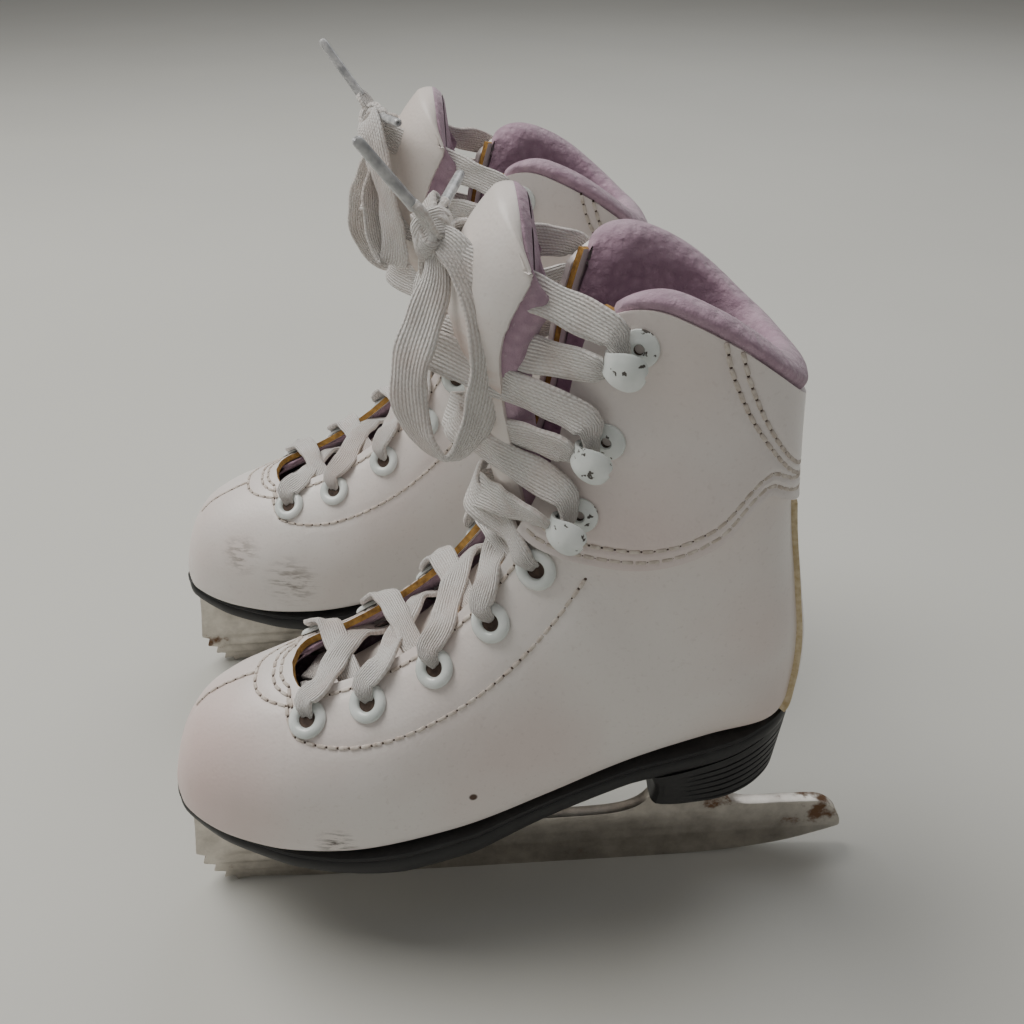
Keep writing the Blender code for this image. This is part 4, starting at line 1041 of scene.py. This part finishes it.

# %% [markdown]
# ## Eyelets
# An eyelet is one pressed ring: a domed flange outside and a clenched rim inside. The flange has a
# closed floor painted dark where the bore would show, as painted shade of the hole. It is turned once
# and five are set in each facing.

# %% Model the eyelets
EYELETS = (5.25, 6.45, 7.8, 9.25, 10.85)
HOOKS = (12.9, 15.05, 17.1)
RING = [(0.02, 0.30), (2.1, 0.34), (2.22, 0.8), (2.5, 1.1), (3.0, 1.35), (3.7, 1.35), (4.4, 1.05),
        (4.85, 0.55), (4.85, 0.15), (0.02, 0.1)]
CLENCH = [(2.3, -4.9), (4.0, -5.0), (4.3, -5.5), (3.7, -6.1), (2.7, -6.2), (2.3, -5.6), (2.3, -4.9)]


def facing_spot(station, side, distance):
    """Place, normal and direction towards the throat on the facing."""
    turn = turn_from_edge(station, side, distance)
    normal = outward(station, turn)
    inwards = boot(station, turn + side * 0.02) - boot(station, turn - side * 0.02)
    inwards = inwards - normal * np.dot(inwards, normal)
    return boot(station, turn), normal, inwards / np.linalg.norm(inwards)


eyelet = joined("eyelet", [turned("flange", RING, 28), turned("clench", CLENCH, 28)])
dress(eyelet, EYELET_ENAMEL, BARE_METAL, PAINTED_HOLE_SHADE)
# Faces of the closed floor inside the flange get the dark hole material: painted shade of the bore
for part in eyelet.data.polygons:
    away = math.hypot(part.center.x, part.center.y)
    bore_shade = 2 if away < 2.12 * MM and part.center.z > 0.2 * MM else 0
    part.material_index = 1 if part.center.z < -2.0 * MM else bore_shade
smooth(eyelet, 50)
for label, side in (("outer", -1), ("inner", 1)):
    spots = [facing_spot(station, side, 7.8) for station in EYELETS]
    rings = [copy_at(eyelet, aim(*spot)) for spot in spots]
    set_on(joined("eyelets", rings), "eyelets_" + label, "skate",
           ["eyelet_stay_" + label])
bpy.data.objects.remove(eyelet)

# %% [markdown]
# ## Speed hooks
# A hook is a riveted base with a tongue of metal that rises on the throat side and folds back over it,
# so the lace can be slipped round the stem. The tongue is a small grid bent along its fold.

# %% Model the speed hook
BASE = [(0.01, -0.6), (1.0, -0.6), (1.05, 0.8), (1.35, 1.15), (2.0, 1.1), (2.5, 0.75), (3.3, 0.8),
        (3.95, 0.55), (4.05, 0.1), (3.9, 0.0), (0.01, -0.7)]
FOLD = np.array(rounded([  # towards throat, height, half width
    (1.6, 0.9, 2.0), (2.9, 0.9, 2.0), (4.1, 1.6, 1.8), (4.5, 3.2, 1.8), (3.8, 5.0, 2.2),
    (2.2, 6.2, 3.0), (0.2, 6.6, 3.6), (-1.8, 6.5, 3.6), (-3.4, 6.0, 2.7), (-4.1, 5.6, 0.9),
], 4))


def fold_place(a, b):
    spot = min(a, 0.9999) * (len(FOLD) - 1)
    low = int(spot)
    reach, high, half = FOLD[low] + (FOLD[low + 1] - FOLD[low]) * (spot - low)
    across = 2.0 * b - 1.0
    dome = 0.75 * (1.0 - across**2) * min(max((a - 0.45) * 4.0, 0.0), 1.0)
    return np.array([reach, half * across, high + dome - 0.4 * (half / 4.2)])


bpy.ops.object.select_all(action="DESELECT")
tongue_of_hook = skin("hook_fold", 40, 14, fold_place, closed=True)
modify(tongue_of_hook, "SOLIDIFY", thickness=0.85 * MM, offset=0.0)
modify(tongue_of_hook, "BEVEL", width=0.25 * MM, segments=2, limit_method="ANGLE",
       angle_limit=math.radians(45))
rivet = turned("hook_base", BASE, 28)
for piece in (rivet, tongue_of_hook):
    dress(piece, HOOK_ENAMEL, PAINTED_HOLE_SHADE)
    smooth(piece, 45)
# Floor and wall of the rivet hole get the dark hole material: painted shade inside the hole
for part in rivet.data.polygons:
    away = math.hypot(part.center.x, part.center.y)
    inner = away < 1.04 * MM and -0.65 * MM < part.center.z < 0.7 * MM
    part.material_index = 1 if inner else 0
for label, side in (("outer", -1), ("inner", 1)):
    for number, station in enumerate(HOOKS):
        place, normal, inwards = facing_spot(station, side, 10.0)
        above = np.array([0.45, -0.1, 0.9])
        foot = place + normal * 2.0
        disc = copy_at(rivet, aim(foot + above * 1.6, normal, inwards))
        fold = copy_at(tongue_of_hook, aim(foot - above * 1.3, normal, inwards * [1.0, 1.0, 0.35]))
        name = "hook_%s_%d" % (label, number + 1)
        set_on(joined(name, [disc, fold]), "speed_" + name, "skate", [name])
bpy.data.objects.remove(rivet)
bpy.data.objects.remove(tongue_of_hook)

# %% [markdown]
# ## Outsole and heel
# The outsole is one thin moulding whose edge shows as a black line with a fine lip round the boot. The
# heel is moulded with it: a block with a rounded back, a hollow front and six ridges.

# %% Model the outsole
SOLE = np.array([  # u, half width, underside
    (0.0, 0.0, 33.5), (1.6, 5.0, 33.2), (6.0, 9.6, 32.6), (14.0, 16.0, 31.9), (24.0, 21.2, 31.5),
    (33.0, 25.2, 31.5), (46.0, 28.2, 31.5), (60.0, 28.8, 31.7), (78.0, 26.4, 34.6), (97.0, 22.4, 41.6),
    (118.0, 20.4, 49.6), (140.0, 19.8, 55.0), (152.0, 15.4, 57.4), (159.5, 9.0, 58.6),
    (163.5, 0.0, 59.5),
])
# the edge profile: outwards, share of the height from the top
EDGE = [(-6.0, 0.0), (0.3, 0.0), (0.9, 0.05), (1.15, 0.16), (0.75, 0.26), (0.45, 0.34), (0.75, 0.42),
        (0.95, 0.6), (0.75, 0.85), (0.2, 1.0), (-1.2, 1.03), (-6.0, 1.03)]


def sole_ring():
    side = rounded(SOLE[:, :2], 8)
    ring = [(u, -v) for u, v in side] + [(u, v) for u, v in reversed(side[1:-1])]
    rows = np.array(ring + ring[:1])
    return even(rows, 1.6)[:-1]


def sole_place(a, b):
    index = int(round(b * len(OUTLINE))) % len(OUTLINE)
    here = OUTLINE[index]
    run = OUTLINE[(index + 1) % len(OUTLINE)] - OUTLINE[index - 1]
    side = np.array([run[1], -run[0]]) / max(np.linalg.norm(run), 1e-6)
    out, share = EDGE[int(round(a * (len(EDGE) - 1)))]
    out = max(out, -0.9 * np.linalg.norm(here - np.array([80.0, 0.0])))
    u, v = here + side * out
    if out < -5.0:
        u, v = here[0] * 0.94 + 4.9, here[1] * 0.72
    top = np.interp(here[0], SECTIONS[1:13, 0], SECTIONS[1:13, 1]) + 0.35
    under = np.interp(here[0], SOLE[:, 0], SOLE[:, 2])
    return np.array([u, v, top + (under - top) * share])


OUTLINE = sole_ring()
bpy.ops.object.select_all(action="DESELECT")
sole = skin("outsole", len(EDGE) - 1, len(OUTLINE), sole_place, closed=True)
close_rims(sole)
dress(sole, RUBBER)
smooth(sole, 35)
set_on(sole, "black_outsole", "skate", ["outsole"])

# %% [markdown]
# ### Heel
# The heel block narrows a little towards the floor and carries six ridges round its back, so it is
# built from rings of one outline, and each groove draws its rings in.

# %% Model the ridged heel
HEEL_BOTTOM = 40.0


def heel_outline(pull):
    """Plan of the heel: rounded back, slightly hollow front; pull draws it in."""
    side = [(124.0 + pull, 0.0), (123.6 + pull, 8.0), (123.2 + pull, 15.0), (123.6 + pull, 19.6 - pull),
            (126.0 + pull, 21.0 - pull), (134.0, 21.1 - pull), (143.0, 20.0 - pull),
            (151.0, 16.8 - pull), (157.5 - pull * 0.6, 12.0 - pull * 0.7), (162.0 - pull, 6.4),
            (163.6 - pull, 0.0)]
    half = even(np.array(rounded(side, 6)), 1.3)
    ring = [tuple(p) for p in half] + [(u, -v) for u, v in half[::-1][1:-1]]
    return np.array(ring)


LEVELS = [(0.0, 0.2)]
for k in range(6):
    top = 0.06 + k * 0.145
    LEVELS += [(top, 0.0), (top + 0.10, 0.0), (top + 0.115, 0.55), (top + 0.13, 0.55)]
LEVELS += [(0.94, 0.0), (0.985, 0.1), (1.0, 0.5)]
RING_COUNT = len(heel_outline(0.0))


def heel_place(a, b):
    share, groove = LEVELS[int(round(a * (len(LEVELS) - 1)))]
    index = int(round(b * RING_COUNT)) % RING_COUNT
    ring = heel_outline(0.0)
    u, v = ring[index] if len(ring) > index else ring[-1]
    back = min(max((u - 130.0) / 12.0, 0.0), 1.0)
    top = np.interp(u, SOLE[:, 0], SOLE[:, 2]) + 0.1
    w = top + (HEEL_BOTTOM - top) * share
    narrow = 1.0 - 0.09 * share - groove * back / 20.0
    u2 = 143.0 + (u - 143.0) * (1.0 - 0.10 * share - groove * back / 20.0)
    if u < 126.0:
        u2 = u + 1.6 * share + 1.3 * math.sin(math.pi * share)
    return np.array([u2, v * narrow, w])


heel = skin("heel", len(LEVELS) - 1, RING_COUNT, heel_place, closed=True)
close_rims(heel)
dress(heel, RUBBER)
smooth(heel, 30)
set_on(heel, "ridged_heel", "skate", ["heel"])

# %% [markdown]
# ## Blade
# The blade is one plate of steel 3.8 mm thick, cut with saw teeth at the toe and a long tail. Its
# outline is filled as a flat curve, given thickness and a ground bevel, then turned into a mesh.

# %% Model the blade
TEETH = [(1.2, 22.0), (0.0, 12.2), (0.1, 11.5), (2.6, 10.6), (2.5, 10.2), (1.5, 7.8), (1.7, 7.4),
         (4.7, 6.9), (4.8, 6.6), (4.0, 4.5), (4.2, 4.1), (7.1, 3.9), (7.2, 3.6), (6.6, 1.8), (6.8, 1.5),
         (9.5, 1.9), (9.7, 1.7), (10.2, 0.25)]
RUNNER = rounded([(10.2, 0.25), (14.5, 1.2), (30.0, 0.35), (44.0, 0.0), (122.0, 0.0), (150.0, 0.7),
                  (168.0, 3.0), (180.0, 6.4), (185.6, 8.4)], 4)
TAIL = rounded([(186.0, 9.2), (185.6, 11.4), (184.0, 14.6), (181.4, 17.3), (178.0, 18.8), (172.0, 19.2),
                (160.0, 19.3), (155.0, 19.9), (151.6, 21.6), (149.4, 24.6), (148.2, 28.5),
                (147.8, 37.6)], 4)
GAP = rounded([(131.0, 37.6), (130.4, 31.0), (128.6, 25.0), (124.6, 20.8), (117.0, 18.7), (100.0, 18.2),
               (84.0, 18.2), (76.0, 20.0), (71.6, 24.4), (70.0, 29.2)], 4)
SLOT = rounded([(52.0, 29.2), (51.0, 23.6), (46.5, 19.4), (38.0, 17.9), (29.5, 18.8), (23.4, 22.4),
                (20.4, 29.2)], 4)
OUTLINE_OF_BLADE = [(1.8, 29.2)] + TEETH + RUNNER[1:] + TAIL + GAP + SLOT


def plate(name, outline, thickness, bevel):
    curve = bpy.data.curves.new(name, "CURVE")
    curve.dimensions = "2D"
    curve.fill_mode = "BOTH"
    curve.extrude = (thickness / 2 - bevel) * MM
    curve.bevel_depth = bevel * MM
    curve.offset = -bevel * MM
    curve.bevel_resolution = 1
    spline = curve.splines.new("POLY")
    spline.points.add(len(outline) - 1)
    for knot, (u, w) in zip(spline.points, outline):
        knot.co = (u * MM, w * MM, 0.0, 1.0)
    spline.use_cyclic_u = True
    obj = bpy.data.objects.new(name, curve)
    bpy.context.scene.collection.objects.link(obj)
    only(obj)
    bpy.ops.object.convert(target="MESH")
    obj = bpy.context.object
    obj.data.transform(Matrix.Rotation(math.radians(90), 4, "X"))
    weld(obj)
    return obj


blade = plate("blade", OUTLINE_OF_BLADE, 3.8, 0.22)
dress(blade, STEEL)
smooth(blade, 35)
set_on(blade, "pick_blade", "skate", ["blade"])
for side in ("left", "right"):
    for node in ("sole_plate", "heel_plate", "sole_screw_outer", "sole_screw_inner",
                 "heel_screw_outer", "heel_screw_inner"):
        dress(bpy.data.objects[side + "_" + node], STEEL)
    dress(bpy.data.objects[side + "_insole"], BOARD)
print("plates and screws keep their CAD shape")

# %% [markdown]
# ## Laces
# The lace is a flat braid 8.5 mm wide and 1.3 mm thick. A ribbon is swept along a smooth run of stops;
# each stop gives a place, which way the flat side faces, and how far the braid is gathered there.

# %% Sweep a flat braid
WIDTH = 8.5
THICK = 1.25
SHAPE = [(-1.0, 0.0), (-0.95, 0.65), (-0.62, 0.95), (-0.2, 0.86), (0.2, 0.9), (0.62, 0.98), (0.95, 0.65),
         (1.0, 0.0), (0.95, -0.65), (0.62, -0.95), (0.2, -0.9), (-0.2, -0.9), (-0.62, -0.95),
         (-0.95, -0.65)]


def braid(name, stops, twist=0.26):
    """Sweep the braid; gives the mesh object and the run of points that it follows, in mm."""
    rows = rounded([np.array([*place, *normal, share]) for place, normal, share in stops], 10)
    rows = even(rows, 1.3)
    path = rows[:, :3]
    tangents = np.gradient(path, axis=0)
    tangents /= np.maximum(np.linalg.norm(tangents, axis=1), 1e-9)[:, None]
    points = []
    faces = []
    uvs = []
    side = None
    ring = len(SHAPE)
    for i, (place, tangent) in enumerate(zip(path, tangents)):
        lean = twist * math.sin(i * 0.11) + 0.5 * twist * math.sin(i * 0.31 + 1.0)
        wanted = np.cross(tangent, rows[i, 3:6])
        wanted = wanted / max(np.linalg.norm(wanted), 1e-9)
        side = wanted if side is None else side
        if np.dot(side, wanted) < 0:
            wanted = -wanted
        side = side - tangent * np.dot(side, tangent)
        side = side / max(np.linalg.norm(side), 1e-9) * 0.45 + wanted * 0.55
        side = side / max(np.linalg.norm(side), 1e-9)
        flat = np.cross(side, tangent)
        turned_side = side * math.cos(lean) + flat * math.sin(lean)
        turned_flat = np.cross(turned_side, tangent)
        share = rows[i, 6]
        half = WIDTH / 2 * share * (1.0 + 0.04 * math.sin(i * 0.73) + 0.04 * math.sin(i * 0.29 + 2.0))
        deep = THICK / 2 * (1.0 + 1.1 * (1.0 - share))
        for x, y in SHAPE:
            cup = 0.45 * (x * x - 0.5) * math.sin(i * 0.21 + 1.0) + 0.16 * math.sin(i * 0.9 + x * 4.0)
            points.append(place + turned_side * x * half + turned_flat * (y * deep + cup))
    for i in range(len(path) - 1):
        for k in range(ring):
            n = (k + 1) % ring
            faces.append((i * ring + k, i * ring + n, (i + 1) * ring + n, (i + 1) * ring + k))
            x0, x1 = (SHAPE[k][0] + 1) / 2, (SHAPE[n][0] + 1) / 2
            uvs += [(x0, i * 1.3), (x1, i * 1.3), (x1, i * 1.3 + 1.3), (x0, i * 1.3 + 1.3)]
    last = (len(path) - 1) * ring
    faces += [tuple(range(ring - 1, -1, -1)), tuple(last + k for k in range(ring))]
    uvs += [(0.5, 0.0)] * (2 * ring)
    mesh = bpy.data.meshes.new(name)
    mesh.from_pydata((np.array(points) * MM).tolist(), [], faces)
    layer = mesh.uv_layers.new(name="UVMap")
    layer.data.foreach_set("uv", np.array(uvs).ravel())
    mesh.materials.append(LACE)
    obj = bpy.data.objects.new(name, mesh)
    bpy.context.scene.collection.objects.link(obj)
    only(obj)
    bpy.ops.object.mode_set(mode="EDIT")
    bpy.ops.mesh.select_all(action="SELECT")
    bpy.ops.mesh.normals_make_consistent(inside=False)
    bpy.ops.object.mode_set(mode="OBJECT")
    mesh.shade_smooth()
    return obj, path


def run_length(path):
    return float(np.sum(np.linalg.norm(np.diff(path, axis=0), axis=1)))


print("braid", WIDTH, "x", THICK, "mm")

# %% [markdown]
# ### Lacing
# Both halves start at a bar inside the lowest eyelets. Each comes up through a hole, passes over its
# own edge, crosses, and goes under the far edge to the next hole. Above the eyelets each half wraps the
# stems of the hooks in turn and ends at the knot. The bow is tied in front of the top of the tongue.

# %% Lay out and sweep the lacing
KNOT = np.array([73.6, -0.5, 187.0])
FRONTS = ((81.5, 127.0), (77.2, 147.0), (72.2, 166.5))


def ridge_frame(station):
    row = section_at(station)
    up = np.array([row[2] - row[0], 0.0, row[3] - row[1]])
    return np.array([row[2], 0.0, row[3]]), up / np.linalg.norm(up)


def through_eyelet(station, side):
    place, normal, inwards = facing_spot(station, side, 7.8)
    return [
        (place - normal * 6.6 + inwards * 3.0, normal, 0.62),
        (place - normal * 4.6 + inwards * 0.2, normal * 0.5 - inwards, 0.46),
        (place - normal * 0.5 + inwards * 1.0, -inwards, 0.36),
        (place + normal * 1.9 + inwards * 2.3, normal - inwards, 0.48),
        (place + normal * 2.2 + inwards * 4.8, normal * 1.5 - inwards * 0.2, 0.7),
    ]


def across_throat(station, following, side, lift):
    """Over the near edge, over the middle, under the far edge."""
    gap = following - station
    low, high = station + 0.26 * gap, following - 0.24 * gap
    over = boot(low, side) + outward(low, side) * 1.5
    under = boot(high, -side, 4.6)
    _, up = ridge_frame(station + 0.5 * gap)
    middle = (over + boot(high, -side, 3.0)) / 2
    middle[1] = 0.0
    return [(over, outward(low, side), 0.80), (middle + up * lift, up, 0.74),
            (under, outward(high, -side) + up, 0.70)]


def round_hook(station, side):
    place, normal, inwards = facing_spot(station, side, 10.0)
    above = np.cross(normal, inwards)
    above = above if above[2] > 0 else -above
    base = place + normal * 5.0 - np.array([0.45, -0.1, 0.9]) * 1.3
    return [
        (base + inwards * 8.5 - above * 4.6, normal - above * 0.3, 0.85),
        (base + inwards * 3.6 - above * 3.0, normal - above, 0.5),
        (base + inwards * 1.6, normal * 0.3 - inwards, 0.42),
        (base + inwards * 3.6 + above * 3.0, normal + above, 0.5),
        (base + inwards * 8.5 + above * 4.6, normal + above * 0.3, 0.85),
    ]


def lacing_stops(side, lift):
    start_row, up = ridge_frame(5.25)
    stops = [(start_row - up * 8.6 + np.array([0.0, side * 0.8, 0.0]), up, 0.8)]
    now = side
    for station, following in zip(EYELETS, EYELETS[1:] + (None,)):
        stops += through_eyelet(station, now)
        if following:
            stops += across_throat(station, following, now, lift)
            now = -now
    for (u, w), station in zip(FRONTS, HOOKS):
        front = np.array([-0.9, 0.0, 0.35])
        stops.append((np.array([u + 5.5, now * 9.5, w - 3.6]), front + [0, now * 0.8, 0], 0.95))
        stops.append((np.array([u - 0.8 - 0.6 * lift, 0.0, w]), front, 0.92))
        now = -now
        stops += round_hook(station, now)
    stops.append((KNOT + np.array([7.0, now * 9.0, -3.2]), np.array([-0.8, now * 0.7, 0.5]), 0.9))
    stops.append((KNOT + np.array([1.6, now * 3.2, -0.8]), np.array([-1.0, now * 0.4, 0.6]), 0.6))
    return stops


for name, side, lift, nodes in (("lacing_a", -1, 0.9, ["lacing"]), ("lacing_b", 1, -0.9, [])):
    lace, path = braid(name, lacing_stops(side, lift))
    made = set_on(lace, name, "skate", nodes)
    print(name, "mm", round(run_length(path)))

# %% [markdown]
# ### Bow and lace tips
# The knot is two short turns of the same braid round each other. Each lace end makes one loop and one
# tail, and the tail is wrapped in a clear film tube.

# %% Tie the bow and fit the tips
NEAR_LOOP = [
    ((0.8, -2.0, 0.4), (-0.5, -0.9, 0.2), 0.55), ((4.5, -7.5, -1.6), (-0.2, -0.9, 0.5), 0.85),
    ((8.6, -11.5, -9.0), (0.2, -1.0, 0.2), 1.0), ((10.0, -13.5, -20.0), (0.3, -1.0, 0.0), 1.0),
    ((8.6, -14.5, -31.5), (0.5, -0.9, -0.2), 1.0), ((5.6, -14.5, -40.0), (0.7, -0.6, -0.5), 0.97),
    ((1.2, -14.0, -44.2), (0.1, -0.5, -1.0), 0.93), ((-3.4, -13.0, -40.6), (-0.8, -0.5, -0.4), 0.95),
    ((-6.2, -12.0, -33.0), (-0.5, -0.9, 0.0), 1.0), ((-5.8, -10.5, -24.0), (-0.3, -1.0, 0.0), 1.0),
    ((-2.6, -8.5, -15.0), (-0.2, -1.0, 0.1), 1.0), ((0.2, -5.5, -7.5), (-0.3, -1.0, 0.1), 0.8),
    ((0.4, -2.4, -1.5), (-0.5, -0.9, 0.2), 0.55),
]
NEAR_TAIL = [((-0.8, -3.2, 2.4), (-0.8, -0.6, -0.3), 0.6), ((-2.4, -4.4, 5.6), (-0.7, -0.5, -0.5), 0.7),
             ((-4.0, -5.0, 7.6), (-0.7, -0.4, -0.6), 0.34)]
FAR_LOOP = [
    ((0.6, 2.0, 0.6), (-0.7, 0.6, 0.4), 0.55), ((-1.6, 8.0, 3.4), (-0.6, 0.3, 0.9), 0.9),
    ((-1.2, 13.5, 0.5), (-0.5, 0.8, 0.5), 1.0), ((1.0, 16.8, -9.0), (-0.6, 0.8, 0.1), 1.0),
    ((3.0, 18.0, -21.0), (-0.7, 0.7, 0.0), 1.0), ((3.6, 17.6, -31.0), (-0.6, 0.7, -0.3), 0.97),
    ((2.0, 15.6, -35.0), (-0.4, 0.0, -1.0), 0.95), ((-0.6, 13.0, -29.5), (-0.7, -0.6, -0.1), 1.0),
    ((-2.0, 11.0, -17.0), (-0.8, -0.4, 0.0), 1.0), ((-1.4, 6.4, -6.6), (-0.8, 0.1, 0.2), 0.85),
    ((0.2, 2.6, -1.2), (-0.7, 0.4, 0.3), 0.55),
]
FAR_TAIL = [((1.2, 4.2, 2.6), (-0.8, 0.0, 0.5), 0.6), ((1.8, 6.4, 3.4), (-0.7, 0.0, 0.6), 0.62),
            ((2.4, 8.8, 3.6), (-0.7, 0.0, 0.7), 0.36)]
TIP_LENGTH = 17.0
TIP = [(0.2, -1.0), (1.2, -1.0), (1.3, -0.6), (1.2, 1.0), (1.2, 8.0), (1.15, TIP_LENGTH - 1.4),
       (1.05, TIP_LENGTH - 0.4), (0.7, TIP_LENGTH), (0.2, TIP_LENGTH - 0.3)]


def from_knot(rows):
    return [(KNOT + np.array(place), np.array(normal), share) for place, normal, share in rows]


def ring_round(axis_a, axis_b, reach_a, reach_b):
    """Turn of braid round the knot in the plane of two axes."""
    stops = []
    for i in range(11):
        angle = 2.0 * math.pi * i / 10.0 + 0.4
        out = np.array(axis_a) * math.cos(angle) * reach_a + np.array(axis_b) * math.sin(angle) * reach_b
        stops.append((KNOT + out, out, 0.72 + 0.06 * math.sin(3.0 * angle)))
    return stops


turns = [
    braid("turn_a", ring_round((1.0, 0.0, 0.2), (0.15, 0.1, 1.0), 3.3, 4.0))[0],
    braid("turn_b", ring_round((1.0, 0.2, 0.0), (0.1, 0.75, 0.66), 2.9, 4.4))[0],
    braid("turn_c", ring_round((0.9, 0.3, 0.2), (0.1, -0.7, 0.72), 3.1, 4.2))[0],
    braid("core", from_knot([((0.0, -4.6, -1.0), (-1, 0, 0), 0.7), ((0.0, 0.0, 0.0), (-1, 0, 0), 0.8),
                             ((0.0, 4.6, 0.6), (-1, 0, 0), 0.7)]))[0],
]
knots = set_on(joined("knot", turns), "bow_knot", "skate", ["bow"])
film = turned("film", TIP, 16)
dress(film, TIP_FILM)
smooth(film, 50)
for label, loop, tail in (("near", NEAR_LOOP, NEAR_TAIL), ("far", FAR_LOOP, FAR_TAIL)):
    strand, path = braid("strand", from_knot(loop + tail))
    heading = path[-1] - path[-4]
    tip = copy_at(film, aim(path[-1], heading, (0.0, 1.0, 0.1)))
    tips = set_on(tip, "lace_tip_" + label, "skate", ["aglet_" + label])
    strands = set_on(strand, "bow_strand_" + label, "skate")
    print(label, "strand mm", round(run_length(path)))
for leftover in (film, bar, hole_shade_dot):
    bpy.data.objects.remove(leftover)
